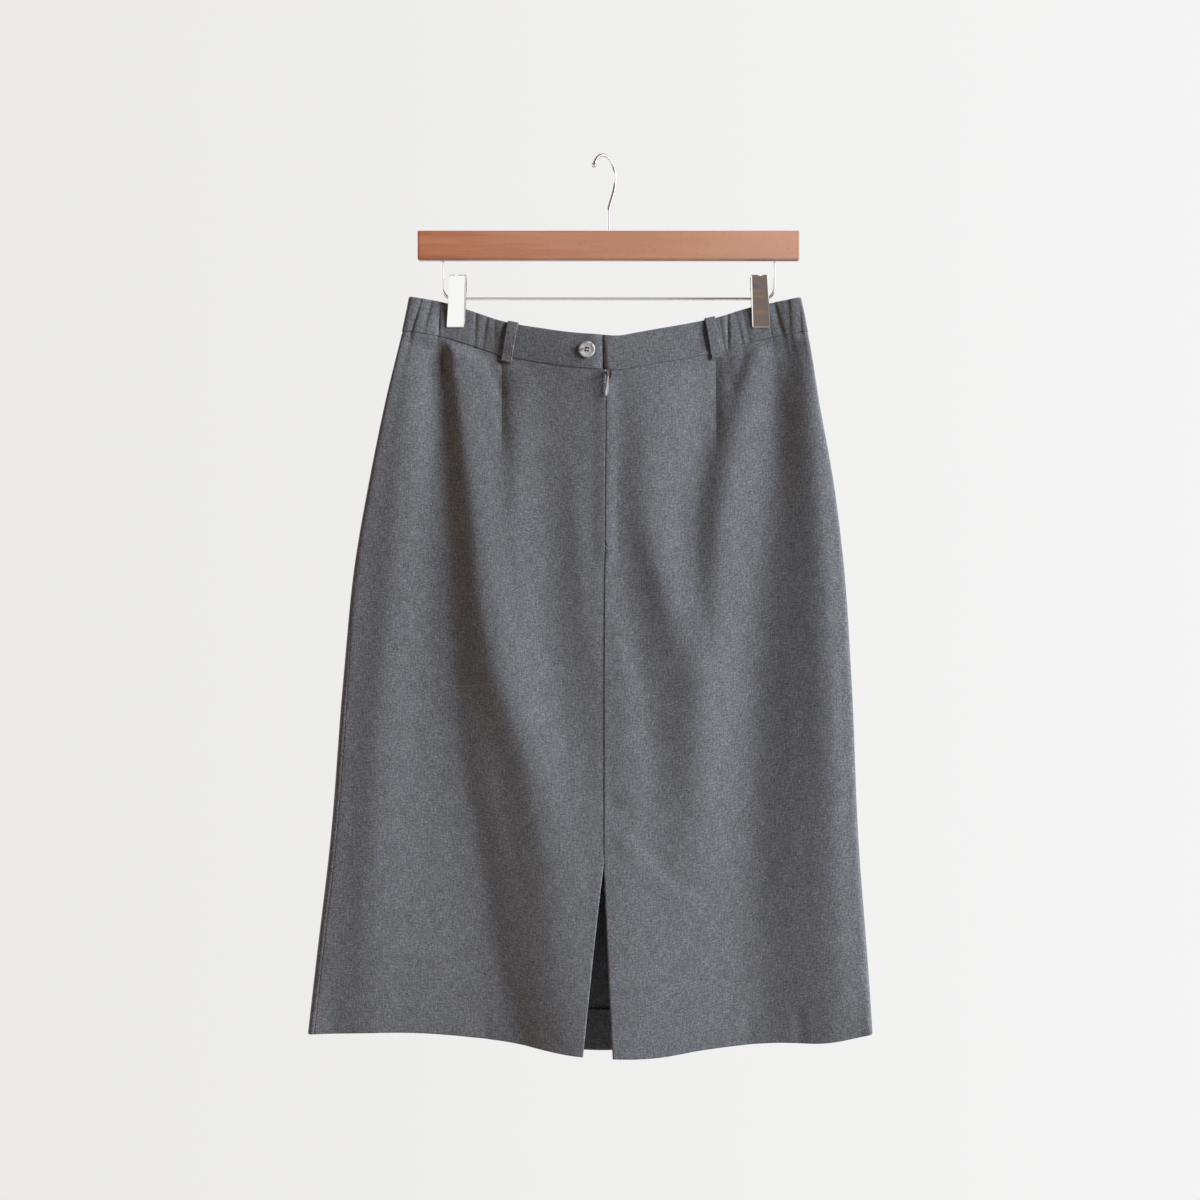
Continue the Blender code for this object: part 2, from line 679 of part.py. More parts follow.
def hanger_rail():
    """One wire, let into the bar at both ends, that the clips slide on."""
    top = -BAR_TOP_BELOW - BAR_HEIGHT + SOCKET_DEEP - GAP
    half = [(RAIL_HALF_LONG, top)]
    for angle in np.linspace(0, -math.pi / 2, 7):
        half.append((RAIL_HALF_LONG - RAIL_BEND + RAIL_BEND * math.cos(angle),
                     -RAIL_BELOW + RAIL_BEND + RAIL_BEND * math.sin(angle)))
    outline = half + [(-x, z) for x, z in reversed(half)]
    return wire("hanger_rail", [(x, 0, z) for x, z in outline], RAIL_RADIUS, chrome)


def clip_plate(name, side, front):
    """A bent plate with two side flanges, whose low ends are the lips that grip the band."""
    facing = -1 if front else 1
    grip_out = PINCHED + GAP + CLIP_LIP + CLIP_WALL
    bottom = CLIP_TOP_BELOW + CLIP_HEIGHT
    # height below the hook, outer face's distance from the rail, half width, flange depth
    sections = [
        (CLIP_TOP_BELOW, CLIP_TOP_OUT, CLIP_TOP_HALF_WIDE, CLIP_FLANGE * 0.55),
        (RAIL_BELOW, CLIP_TOP_OUT - 0.0010, mix(CLIP_TOP_HALF_WIDE, CLIP_HALF_WIDE, 0.45), CLIP_FLANGE),
        (RAIL_BELOW + 0.010, grip_out + 0.0014, mix(CLIP_TOP_HALF_WIDE, CLIP_HALF_WIDE, 0.7),
         CLIP_WALL),
        (bottom, grip_out, CLIP_HALF_WIDE, CLIP_WALL),
    ]
    shell = bmesh.new()
    rings = []
    for below, out, half, flange in sections:
        inner_half = half - CLIP_WALL
        flange = max(flange, CLIP_WALL + CLIP_LIP)
        ring = [(-half, 0), (half, 0), (half, flange), (inner_half, flange), (inner_half, CLIP_WALL),
                (-inner_half, CLIP_WALL), (-inner_half, flange), (-half, flange)]
        rings.append([
            shell.verts.new((side * CLIP_ACROSS + x, facing * (out - depth), -below))
            for x, depth in ring
        ])
    for upper, lower in zip(rings, rings[1:]):
        for i in range(len(upper)):
            j = (i + 1) % len(upper)
            shell.faces.new((upper[i], upper[j], lower[j], lower[i]))
    shell.faces.new(rings[0])
    shell.faces.new(rings[-1])
    bmesh.ops.triangulate(shell, faces=shell.faces)
    bmesh.ops.recalc_face_normals(shell, faces=shell.faces)
    mesh = bpy.data.meshes.new(name)
    shell.to_mesh(mesh)
    shell.free()
    return add(name, mesh, chrome)


def clip_spring(name, side):
    """The coiled spring on the rail, as the sleeve that its turns fill."""
    mesh = bpy.data.meshes.new(name)
    inner = RAIL_RADIUS + GAP
    half = SPRING_LONG / 2
    profile = [(SPRING_RADIUS, half), (SPRING_RADIUS, -half), (inner, -half), (inner, half),
               (SPRING_RADIUS, half)]
    mesh.from_pydata([(r, 0.0, z) for r, z in profile],
                     [(i, i + 1) for i in range(len(profile) - 1)], [])
    piece = add(name, mesh, chrome)
    turned = piece.modifiers.new("turned", "SCREW")
    turned.steps = turned.render_steps = 14
    turned.use_merge_vertices = True
    turned.merge_threshold = 0.00005
    weld = piece.modifiers.new("weld", "WELD")
    weld.merge_threshold = 0.00005
    piece.matrix_local = (Matrix.Translation((side * CLIP_ACROSS, 0, -RAIL_BELOW))
                          @ Matrix.Rotation(math.pi / 2, 4, "Y"))
    return piece


# ---------------------------------------------------------------- the whole thing
for old in list(bpy.data.objects):
    bpy.data.objects.remove(old, do_unlink=True)
parts = bpy.data.collections.new("clip_hanger_skirt")
cutters = bpy.data.collections.new("cutters")
bpy.context.scene.collection.children.link(parts)
bpy.context.scene.collection.children.link(cutters)

hanging = bpy.data.objects.new("hanging_frame", None)
hanging.location = (CROOK_SET * math.cos(HOOK_TURN), CROOK_SET * math.sin(HOOK_TURN), 0.0)
parts.objects.link(hanging)

wool = new_material("grey melange wool twill", (0.115, 0.113, 0.118), 0.9)
wool_band = new_material("grey wool waistband", (0.105, 0.102, 0.106), 0.9)
zip_cloth = new_material("dark zip tape", (0.030, 0.028, 0.030), 0.85)
horn = new_material("marbled grey button", (0.30, 0.28, 0.27), 0.35)
nickel = new_material("nickel zip", (0.62, 0.60, 0.57), 0.3, 1.0)
chrome = new_material("chromed steel", (0.80, 0.80, 0.80), 0.08, 1.0)
wood = new_material("varnished reddish wood", (0.42, 0.16, 0.08), 0.4)

PULL_X = sum(SLIDER_ACROSS) / 2
PULL_Z = -0.2065
PULL_Y = surface_y(PULL_X, -PULL_Z + PULL_LONG) - LAP_RISE - GAP - PULL_WALL / 2 - 0.0004

back_panel("back_panel_left", False)
back_panel("back_panel_right", True)
front_panel()
plain_band("waistband_back_left", LOOP_SEAM_ACROSS[0], BAND_END_ACROSS, 14, lift=band_lap)
plain_band("waistband_back_right", BAND_UNDER_ACROSS, LOOP_SEAM_ACROSS[1], 12)
plain_band("waistband_front", LOOP_SEAM_ACROSS[1], LOOP_SEAM_ACROSS[0], 14, front=True)
gathered_band("waistband_side_left", False)
gathered_band("waistband_side_right", True)
for place, right, front in (("back_left", False, False), ("back_right", True, False),
                            ("front_left", False, True), ("front_right", True, True)):
    belt_loop(f"belt_loop_{place}", right, front)
button()
zip_tape()
zip_slider()
zip_pull()
hanger_bar()
hanger_hook()
hanger_rail()
for hand, side in (("left", -1), ("right", 1)):
    clip_plate(f"clip_{hand}_front", side, True)
    clip_plate(f"clip_{hand}_back", side, False)
    clip_spring(f"clip_{hand}_spring", side)
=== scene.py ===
"""A straight grey wool midi skirt on a wooden clip hanger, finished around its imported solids.

Metres, +Z up, the origin at the inner top of the hook's crook. The garment's back, with its
zip, button and slit, faces -Y. "Below" is a distance under the hook, and "across" a distance
to the right of the hook's stem.
"""

import json
import math

import bmesh
import bpy
import numpy as np
from mathutils import Matrix, Vector


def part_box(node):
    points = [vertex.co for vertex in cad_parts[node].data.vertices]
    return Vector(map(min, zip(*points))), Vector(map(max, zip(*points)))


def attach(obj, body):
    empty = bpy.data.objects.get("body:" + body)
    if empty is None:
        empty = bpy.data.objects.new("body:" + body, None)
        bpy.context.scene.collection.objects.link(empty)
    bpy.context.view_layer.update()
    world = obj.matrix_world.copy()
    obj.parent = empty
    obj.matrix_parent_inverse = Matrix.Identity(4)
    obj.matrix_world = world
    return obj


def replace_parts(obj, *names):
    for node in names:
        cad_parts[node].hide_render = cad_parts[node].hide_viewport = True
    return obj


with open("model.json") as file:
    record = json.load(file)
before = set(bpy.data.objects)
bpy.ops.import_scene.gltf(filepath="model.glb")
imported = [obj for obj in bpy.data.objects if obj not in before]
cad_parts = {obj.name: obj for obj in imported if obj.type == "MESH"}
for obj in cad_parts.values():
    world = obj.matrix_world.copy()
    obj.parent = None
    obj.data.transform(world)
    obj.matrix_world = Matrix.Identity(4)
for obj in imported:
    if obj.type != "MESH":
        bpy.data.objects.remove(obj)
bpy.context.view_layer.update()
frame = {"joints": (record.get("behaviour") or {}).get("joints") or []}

# ---------------------------------------------------------------- camera
# It faces the garment's back from 2.4 m, level with the middle of the skirt. STEM stands on the
# hook's upright, and the cloth's distances across are counted from it.
bar_low, bar_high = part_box("hanger_bar")
bar_middle = (bar_low + bar_high) / 2
STEM = Vector((bar_middle.x, bar_middle.y, 0.0))
camera = bpy.data.objects.new("camera", bpy.data.cameras.new("camera"))
bpy.context.collection.objects.link(camera)
camera.location = STEM + Vector((-0.0080, -2.4, -0.4177))
camera.rotation_euler = (math.radians(90), 0.0, 0.0)
camera.data.sensor_width = 36.0
camera.data.lens = 76.2
bpy.context.scene.camera = camera

# ---------------------------------------------------------------- room and light
# A pale room: cool daylight from a tall window on the right, a weak warm bounce from the left,
# and a soft light behind for the hidden side. The floor lies well under the hem.
bpy.context.scene.view_settings.view_transform = "Standard"


def colour(hex_code):
    """An sRGB hex colour as linear RGBA."""
    channels = [int(hex_code[i:i + 2], 16) / 255 for i in (0, 2, 4)]
    linear = [c / 12.92 if c <= 0.04045 else ((c + 0.055) / 1.055) ** 2.4 for c in channels]
    return (*linear, 1.0)


def add_node(tree, kind, inputs=None, **settings):
    """Adds a node. inputs maps a socket to a value, or to the output that feeds it."""
    made = tree.nodes.new(kind)
    for name, value in settings.items():
        setattr(made, name, value)
    for socket, value in (inputs or {}).items():
        if isinstance(value, bpy.types.NodeSocket):
            tree.links.new(value, made.inputs[socket])
        else:
            made.inputs[socket].default_value = value
    return made


world = bpy.data.worlds.new("pale room")
bpy.context.scene.world = world
world.use_nodes = True
sky = world.node_tree
sky.nodes.clear()
direction = add_node(sky, "ShaderNodeTexCoord").outputs["Generated"]
axes = add_node(sky, "ShaderNodeSeparateXYZ", {0: direction}).outputs
# The wall seen behind the skirt is painted a little darker on the left, away from the window:
# painted shade.
wall_shade_away_from_window = add_node(sky, "ShaderNodeMapRange", {0: axes["X"], 1: -0.25, 2: 0.25}).outputs[0]
wall = add_node(sky, "ShaderNodeMix", {0: wall_shade_away_from_window, 6: colour("EAE9E7"), 7: colour("F5F5F5")},
                data_type="RGBA").outputs[2]
bounce_side = add_node(sky, "ShaderNodeMapRange", {0: axes["X"], 1: -0.7, 2: 0.7}).outputs[0]
bounce = add_node(sky, "ShaderNodeMix", {
    0: bounce_side, 6: colour("DDC9BA"), 7: colour("E6E2DC")}, data_type="RGBA").outputs[2]
seen = add_node(sky, "ShaderNodeBackground", {0: wall, 1: 1.0}).outputs[0]
lighting = add_node(sky, "ShaderNodeBackground", {0: bounce, 1: 0.05}).outputs[0]
# Chrome mirrors a room that can't be seen: white wall to the left of the viewer and behind,
# brown furniture to the right, dark above and below, and the window far out on the right.
left_side = add_node(sky, "ShaderNodeMapRange", {
    0: axes["X"], 1: 0.015, 2: 0.045, 3: 1.0, 4: 0.0}).outputs[0]
height_off = add_node(sky, "ShaderNodeMath", {0: axes["Z"]}, operation="ABSOLUTE").outputs[0]
at_eye_height = add_node(sky, "ShaderNodeMapRange", {
    0: height_off, 1: 0.30, 2: 0.45, 3: 1.0, 4: 0.0}).outputs[0]
on_wall = add_node(sky, "ShaderNodeMath", {
    0: left_side, 1: at_eye_height}, operation="MULTIPLY").outputs[0]
at_window = add_node(sky, "ShaderNodeMapRange", {0: axes["X"], 1: 0.82, 2: 0.90}).outputs[0]
pale_part = add_node(sky, "ShaderNodeMath", {
    0: on_wall, 1: at_window}, operation="MAXIMUM").outputs[0]
mirror_light = add_node(sky, "ShaderNodeMapRange", {0: at_window, 3: 1.42, 4: 3.5}).outputs[0]
upright = add_node(sky, "ShaderNodeMapping", {
    0: direction, "Scale": (110.0, 10.0, 9.0)}).outputs[0]
clutter = add_node(sky, "ShaderNodeTexNoise", {
    "Vector": upright, "Scale": 1.0, "Detail": 1.0}).outputs["Fac"]
clutter = add_node(sky, "ShaderNodeMapRange", {0: clutter, 1: 0.40, 2: 0.62}).outputs[0]
furniture = add_node(sky, "ShaderNodeMix", {0: clutter, 6: colour("666063"), 7: colour("8F7661")},
                     data_type="RGBA").outputs[2]
mirrored = add_node(sky, "ShaderNodeMix", {0: pale_part, 6: furniture, 7: colour("F7F8F8")},
                    data_type="RGBA").outputs[2]
in_chrome = add_node(sky, "ShaderNodeBackground", {0: mirrored, 1: mirror_light}).outputs[0]
ray = add_node(sky, "ShaderNodeLightPath").outputs
unseen = add_node(sky, "ShaderNodeMixShader", {
    0: ray["Is Glossy Ray"], 1: lighting, 2: in_chrome}).outputs[0]
room = add_node(sky, "ShaderNodeMixShader", {
    0: ray["Is Camera Ray"], 1: unseen, 2: seen}).outputs[0]
add_node(sky, "ShaderNodeOutputWorld", {0: room})


def lamp(name, place, size, watts, tint):
    """A rectangular lamp that faces the middle of the skirt. Chrome doesn't mirror it."""
    light = bpy.data.lights.new(name, "AREA")
    light.shape = "RECTANGLE"
    light.size, light.size_y = size
    light.energy = watts
    light.color = colour(tint)[:3]
    made = bpy.data.objects.new(name, light)
    bpy.context.collection.objects.link(made)
    made.location = place
    made.rotation_euler = (MIDDLE - Vector(place)).to_track_quat("-Z", "Y").to_euler()
    made.visible_glossy = False


MIDDLE = Vector((0.0, 0.0, -0.45))
lamp("window", (6.9, -2.65, 2.4), (3.3, 4.3), 1880, "E7F0FF")
lamp("warm bounce", (-2.6, -0.7, -0.4), (1.4, 1.6), 23, "FFDCC0")
lamp("light behind", (-1.9, 2.4, 0.6), (1.6, 1.6), 130, "EEF3FC")

# The floor is a round sheet of paper that fades out towards its rim.
FLOOR_BELOW = 1.95
FLOOR_REACH = 3.0
FADE_START = 0.5
FADE_END = FLOOR_REACH - 0.1
floor_mesh = bpy.data.meshes.new("floor")
floor_rings = bmesh.new()
bmesh.ops.create_circle(floor_rings, cap_ends=True, segments=96, radius=FLOOR_REACH)
floor_rings.to_mesh(floor_mesh)
floor_rings.free()
floor = bpy.data.objects.new("floor", floor_mesh)
bpy.context.collection.objects.link(floor)
floor.location.z = -FLOOR_BELOW
paper = bpy.data.materials.new("matt pale paper")
paper.use_nodes = True
sheet_tree = paper.node_tree
spot = add_node(sheet_tree, "ShaderNodeTexCoord").outputs["Object"]
reach = add_node(sheet_tree, "ShaderNodeVectorMath", {0: spot}, operation="LENGTH").outputs["Value"]
fade = add_node(sheet_tree, "ShaderNodeMapRange", {0: reach, 1: FADE_START, 2: FADE_END},
                interpolation_type="SMOOTHSTEP").outputs[0]
matt = sheet_tree.nodes["Principled BSDF"]
matt.inputs["Base Color"].default_value = colour("EFEEEC")
matt.inputs["Roughness"].default_value = 0.9
clear = add_node(sheet_tree, "ShaderNodeBsdfTransparent").outputs[0]
edge_fade = add_node(sheet_tree, "ShaderNodeMixShader", {0: fade, 1: matt.outputs[0], 2: clear})
sheet_tree.links.new(edge_fade.outputs[0], sheet_tree.nodes["Material Output"].inputs[0])
floor_mesh.materials.append(paper)

# ---------------------------------------------------------------- back panels
# Two panels of grey melange wool twill, cut straight and a little flared, each shaped by a
# stitched dart. They meet in the centre-back seam, with a lapped zip above it and an open slit
# under it. Their edges are folded in and pressed, and the hem is turned up and blind stitched.
GAP = 0.0003
WALL = 0.0011
FOLD_RADIUS = WALL / 2 + 0.0001
BAND_WALL = 0.0026
BAND_HEIGHT = 0.033
HEM_SIDE_BELOW = 0.825
WAIST_SIDE_BELOW = 0.1316
DROP = HEM_SIDE_BELOW - WAIST_SIDE_BELOW - BAND_HEIGHT
# The sewn seam under the waistband is drawn almost shut, so that no light shows through it.
SEAM_GAP = 0.00006
# The folds start under the band and fade out at the side edges, and the hem curls in a little.
EDGE_SOFT = 0.45
HANG_START = 0.022
HEM_CURL = 0.005
HEM_CURL_HIGH = 0.080

# The flattened tube of cloth that hangs from the clips, a row for each height. The back bends
# tightly round at the sides, where its depth is the last number, and the front more roundly and
# fuller. The back fills out too below the waistband, and the middle of its top stands up a little.
SECTIONS = np.array([
    # below, left, right, depth, front shoulders, back edge depth
    (0.125, -0.1870, 0.1800, 0.0110, 1.50, 0.0060),
    (0.164, -0.1950, 0.1885, 0.0120, 1.50, 0.0068),
    (0.229, -0.2103, 0.1989, 0.0135, 1.40, 0.0095),
    (0.304, -0.2254, 0.2122, 0.0150, 1.40, 0.0120),
    (0.380, -0.2386, 0.2216, 0.0160, 1.50, 0.0130),
    (0.493, -0.2500, 0.2292, 0.0170, 1.70, 0.0140),
    (0.645, -0.2622, 0.2358, 0.0180, 2.10, 0.0150),
    (0.758, -0.2755, 0.2443, 0.0190, 2.50, 0.0160),
    (0.850, -0.2860, 0.2505, 0.0190, 2.80, 0.0160),
])
SIDE_BEND = 0.09
FRONT_FULLER = 1.16
BACK_FULLER = 0.004
BACK_FULL_BY = 0.40
MIDDLE_RISE = 0.0023
MIDDLE_HALF_WIDE = 0.085
MIDDLE_FADE = (0.10, 0.40)
WAIST_LINE = np.array([
    # across, below
    (-0.187, 0.1314), (-0.155, 0.1370), (-0.133, 0.1436), (-0.100, 0.1545), (-0.060, 0.1620),
    (-0.038, 0.1653), (-0.010, 0.1676), (0.010, 0.1688), (0.026, 0.1660), (0.045, 0.1625),
    (0.080, 0.1560), (0.102, 0.1512), (0.132, 0.1420), (0.155, 0.1370), (0.180, 0.1320),
])
BACK_HEM_LINE = np.array([
    # across, below
    (-0.284, 0.8250), (-0.170, 0.8245), (-0.103, 0.8313), (-0.024, 0.8447), (0.045, 0.8465),
    (0.090, 0.8400), (0.158, 0.8340), (0.205, 0.8335), (0.249, 0.8250),
])
FRONT_HEM_LINE = np.array([
    # across, below
    (-0.284, 0.8250), (-0.150, 0.8310), (-0.015, 0.8450), (0.120, 0.8330), (0.249, 0.8250),
])

# The long soft folds: a row for each, with its place across at each height, how far it stands
# out there (a ridge) or sinks in (a trough), in millimetres, and its half widths on its left
# and on its right, at the waist and at the hem.
FOLD_BELOW = np.array([0.19, 0.26, 0.34, 0.42, 0.50, 0.58, 0.66, 0.74, 0.83])
BACK_FOLDS = [
    ("left shoulder",
     (-183, -190, -197, -204, -211, -216, -220, -224, -228),
     (1.0, 2.0, 2.5, 3.0, 3.0, 3.0, 3.0, 2.5, 2.0), (14, 22), (20, 30)),
    ("left clip trough",
     (-161, -158, -154, -151, -148, -140, -125, -113, -91),
     (-4.5, -4.0, -3.6, -4.0, -5.0, -5.4, -5.4, -5.2, -4.5), (38, 70), (14, 22)),
    ("left ridge",
     (-146, -135, -124, -115, -98, -72, -58, -50, -38),
     (5.0, 6.8, 7.6, 8.6, 8.8, 7.8, 6.4, 5.0, 4.0), (14, 34), (32, 36)),
    ("left dart ridge",
     (-86, -86, -85, -80, -75, -60, -50, -40, -35),
     (1.0, 3.0, 1.8, 0.5, 0.0, 0.0, 0.0, 0.0, 0.0), (12, 12), (18, 18)),
    ("left middle valley",
     (-60, -60, -57, -53, -46, -36, -30, -20, -10),
     (0.0, -0.5, -1.2, -2.0, -2.5, -1.0, 0.0, 0.0, 0.0), (22, 26), (30, 36)),
    ("zip end ripple",
     (-40, -36, -30, -24, -18, -10, -8, -8, -8),
     (0.0, 0.0, 1.0, 0.8, 0.0, 0.0, 0.0, 0.0, 0.0), (12, 12), (12, 12)),
    ("hanging middle",
     (10, 10, 10, 10, 10, 8, 5, 5, 5),
     (0.0, 0.0, 0.5, 0.5, 1.0, 3.0, 6.0, 7.5, 8.0), (50, 75), (36, 52)),
    ("seam valley",
     (9, 9, 11, 19, 35, 42, 44, 50, 50),
     (0.0, -0.5, -0.8, -2.6, -3.2, -2.6, -1.0, 0.0, 0.0), (12, 20), (18, 30)),
    ("upper right ridge",
     (34, 34, 36, 58, 78, 86, 88, 88, 88),
     (0.0, 1.5, 2.6, 3.0, 0.5, 0.0, 0.0, 0.0, 0.0), (16, 16), (20, 20)),
    ("right pocket",
     (96, 90, 80, 85, 92, 92, 92, 92, 92),
     (-3.5, -4.5, -4.0, -2.5, 0.0, 0.0, 0.0, 0.0, 0.0), (24, 24), (18, 16)),
    ("right ridge",
     (138, 122, 108, 99, 89, 86, 86, 86, 86),
     (4.0, 4.0, 3.4, 3.0, 3.6, 3.0, 1.5, 0.0, 0.0), (15, 26), (24, 34)),
    ("right trough",
     (166, 157, 147, 140, 136, 133, 131, 134, 141),
     (-4.0, -5.5, -7.0, -8.5, -9.5, -9.5, -9.0, -8.0, -6.5), (34, 50), (30, 42)),
    ("right shoulder",
     (185, 193, 199, 203, 207, 209, 210, 214, 220),
     (1.5, 3.0, 3.5, 3.5, 3.5, 3.5, 3.0, 2.5, 2.0), (20, 26), (14, 18)),
]
FRONT_FOLDS = [
    ("left trough",
     (-158, -154, -150, -145, -138, -130, -120, -112, -105),
     (-3.5, -4.5, -5.0, -5.5, -6.0, -6.0, -6.0, -5.5, -5.0), (30, 34), (24, 30)),
    ("left ridge",
     (-132, -118, -108, -98, -86, -78, -70, -64, -60),
     (2.0, 3.5, 4.5, 5.5, 6.0, 6.5, 6.0, 5.5, 5.0), (22, 30), (24, 30)),
    ("middle trough",
     (-14, -8, -2, 4, 10, 12, 12, 14, 15),
     (-0.5, -1.5, -2.5, -3.5, -4.0, -4.5, -5.0, -5.0, -5.0), (30, 36), (28, 34)),
    ("right ridge",
     (134, 120, 108, 98, 90, 86, 85, 85, 85),
     (2.5, 4.0, 5.0, 5.5, 6.0, 6.0, 6.0, 5.5, 5.0), (22, 30), (22, 30)),
    ("right trough",
     (162, 158, 154, 150, 145, 140, 135, 132, 130),
     (-3.5, -4.5, -5.0, -5.5, -6.0, -6.0, -5.5, -5.0, -4.0), (24, 30), (26, 32)),
]

# Short soft creases in the back: where each starts and ends (across, below), how far it stands
# out or sinks in, and its half width, in millimetres. The first four hang from the elastic, the
# next three run out from the slit's top, and in the last four the hem's blind stitches pull.
BACK_CREASES = [
    ((-157, 172), (-155, 200), -1.6, 5),
    ((-147, 178), (-146, 205), 1.2, 7),
    ((-116, 186), (-102, 222), -1.0, 5),
    ((131, 178), (119, 216), -1.4, 6),
    ((6, 608), (46, 664), -1.0, 9),
    ((46, 664), (96, 700), -0.8, 10),
    ((20, 640), (60, 690), 0.9, 14),
    ((-118, 812), (-116, 838), -0.9, 6),
    ((-79, 818), (-80, 842), -0.8, 5),
    ((132, 812), (133, 842), -0.8, 6),
    ((178, 806), (180, 838), -0.9, 6),
]

# The clips press both layers down to PINCHED from the tube's middle. Beyond their plates that
# fades outwards and inwards, over a longer way on the band itself, and down the cloth.
CLIP_ACROSS = 0.1430
CLIP_HALF_WIDE = 0.0087
PINCHED = GAP + 0.0028
PINCH_MARGIN = 0.0015
PINCH_OUTER_REACH = 0.020
PINCH_INNER_REACH = 0.055
PINCH_BAND_REACH = 0.080
PINCH_NARROWS_BY = 0.12
PINCH_FADE = 0.15


def curve_through(keys, values):
    """A function that passes smoothly through the values at their keys."""
    keys, values = np.asarray(keys, float), np.asarray(values, float)
    slopes = np.gradient(values, keys)

    def value_at(at):
        at = np.asarray(at, float)
        i = np.clip(np.searchsorted(keys, at, side="right") - 1, 0, len(keys) - 2)
        step = keys[i + 1] - keys[i]
        t = np.clip((at - keys[i]) / step, 0.0, 1.0)
        rise = t * t * (3 - 2 * t)
        into = t * (1 - t) ** 2 * step * slopes[i]
        out = t * t * (1 - t) * step * slopes[i + 1]
        return values[i] + (values[i + 1] - values[i]) * rise + into - out

    return value_at


def ease(low, high, at):
    """0 below low, 1 above high, and a soft step between."""
    t = np.clip((np.asarray(at, float) - low) / (high - low), 0.0, 1.0)
    return t * t * (3 - 2 * t)


def mix(a, b, share):
    """A value between two others."""
    return a + (b - a) * share


def fold_curves(folds):
    """Each fold's path and rise as curves down the cloth, and its half widths, in metres."""
    return [(curve_through(FOLD_BELOW, np.array(path) / 1000),
             curve_through(FOLD_BELOW, np.array(rises) / 1000),
             np.array(left) / 1000, np.array(right) / 1000)
            for _, path, rises, left, right in folds]


section_left, section_right, section_depth, section_shoulders, section_edge = (
    curve_through(SECTIONS[:, 0], SECTIONS[:, column]) for column in range(1, 6))
waist_below, back_hem_below, front_hem_below = (
    curve_through(*line.T) for line in (WAIST_LINE, BACK_HEM_LINE, FRONT_HEM_LINE))
back_folds, front_folds = fold_curves(BACK_FOLDS), fold_curves(FRONT_FOLDS)
ends_below = FOLD_BELOW[[0, -1]]


def fold_rise(folds, across, below):
    """How far the folds stand out. Each has its own width on either side of its crest."""
    total = 0.0
    for centre, rise, left, right in folds:
        off = across - centre(below)
        left_wide, right_wide = (np.interp(below, ends_below, side) for side in (left, right))
        wide = np.where(off < 0, left_wide, right_wide)
        total = total + rise(below) * np.exp(-((off / wide) ** 2))
    return total


def crease_rise(across, below):
    """How far the short creases stand out."""
    total = 0.0
    for start, end, rise, wide in BACK_CREASES:
        x, z = np.array(start) / 1000
        run, fall = (np.array(end) - np.array(start)) / 1000
        share = ((across - x) * run + (below - z) * fall) / (run * run + fall * fall)
        share = np.clip(share, 0.0, 1.0)
        off = np.hypot(across - x - share * run, below - z - share * fall)
        total = total + rise / 1000 * np.exp(-((off / wide * 1000) ** 2))
    return total


def pinch(across, level):
    """How firmly the clips hold both layers together here, from 0 to 1."""
    off = abs(across) - CLIP_ACROSS
    past = np.maximum(abs(off) - CLIP_HALF_WIDE - PINCH_MARGIN, 0.0)
    narrowed = ease(0.0, PINCH_NARROWS_BY, level)
    inner_reach = mix(PINCH_BAND_REACH, PINCH_INNER_REACH, narrowed)
    reach = np.where(off > 0, PINCH_OUTER_REACH, inner_reach)
    return np.exp(-((past / reach) ** 2)) * np.exp(-((np.maximum(level, 0.0) / PINCH_FADE) ** 2))


def side_below(level):
    """How far below the hook a level lies at the tube's side edges."""
    return np.where(level > 0, WAIST_SIDE_BELOW + BAND_HEIGHT + DROP * level,
                    WAIST_SIDE_BELOW + BAND_HEIGHT * (1 + level))


def tube(turn, level):
    """Points on the tube of cloth. A turn of 0 is the middle of the back, 90 degrees the right
    edge and 180 the middle of the front. The level is -1 at the waistband's top, 0 at its seam
    and 1 at the hem."""
    turn, level = np.broadcast_arrays(np.asarray(turn, float), np.asarray(level, float))
    below_side = side_below(level)
    across = mix(section_left(below_side), section_right(below_side), (1 + np.sin(turn)) / 2)
    facing = np.cos(turn)
    back = facing >= 0
    band_seam = waist_below(across) + BAND_HEIGHT
    hem = np.where(back, back_hem_below(across), front_hem_below(across))
    below = np.where(level > 0, mix(band_seam, hem, level), band_seam + BAND_HEIGHT * level)
    depth = section_depth(below_side)
    shoulders = 1 + section_shoulders(below_side) * np.sin(turn) ** 2
    rounded_front = FRONT_FULLER * depth * abs(facing) * shoulders
    flat_back = mix(section_edge(below_side), depth, facing ** 2)
    flat_back = flat_back + BACK_FULLER * ease(0.0, BACK_FULL_BY, level)
    flat_back = flat_back * np.tanh(abs(facing) / SIDE_BEND)
    out = np.where(back, flat_back, rounded_front)
    edge = ease(0.0, EDGE_SOFT, abs(facing))
    out = mix(out, PINCHED, pinch(across, level) * edge)
    folds = np.where(back, fold_rise(back_folds, across, below) + crease_rise(across, below),
                     fold_rise(front_folds, across, below))
    middle_rise = MIDDLE_RISE * np.exp(-((across / MIDDLE_HALF_WIDE) ** 2))
    middle_rise = middle_rise * (1 - ease(*MIDDLE_FADE, level))
    out = out + middle_rise + ease(0.0, HANG_START, level) * edge * folds
    curled = np.maximum(1 - (1 - level) * DROP / HEM_CURL_HIGH, 0.0) ** 2
    out = out - HEM_CURL * edge * curled
    return np.stack((across, np.where(back, -out, out), -below), axis=-1)


def outward(turn, level):
    """The tube's unit normal."""
    along = tube(turn + 0.004, level) - tube(turn - 0.004, level)
    down = tube(turn, level + 0.003) - tube(turn, level - 0.003)
    normal = np.cross(down, along)
    return normal / np.linalg.norm(normal, axis=-1, keepdims=True)


def turn_at(across, level, front=False):
    """The turn where the tube passes this far across."""
    low, high = section_left(side_below(level)), section_right(side_below(level))
    turn = np.arcsin(np.clip(2 * (across - low) / (high - low) - 1, -1.0, 1.0))
    return math.pi - turn if front else turn


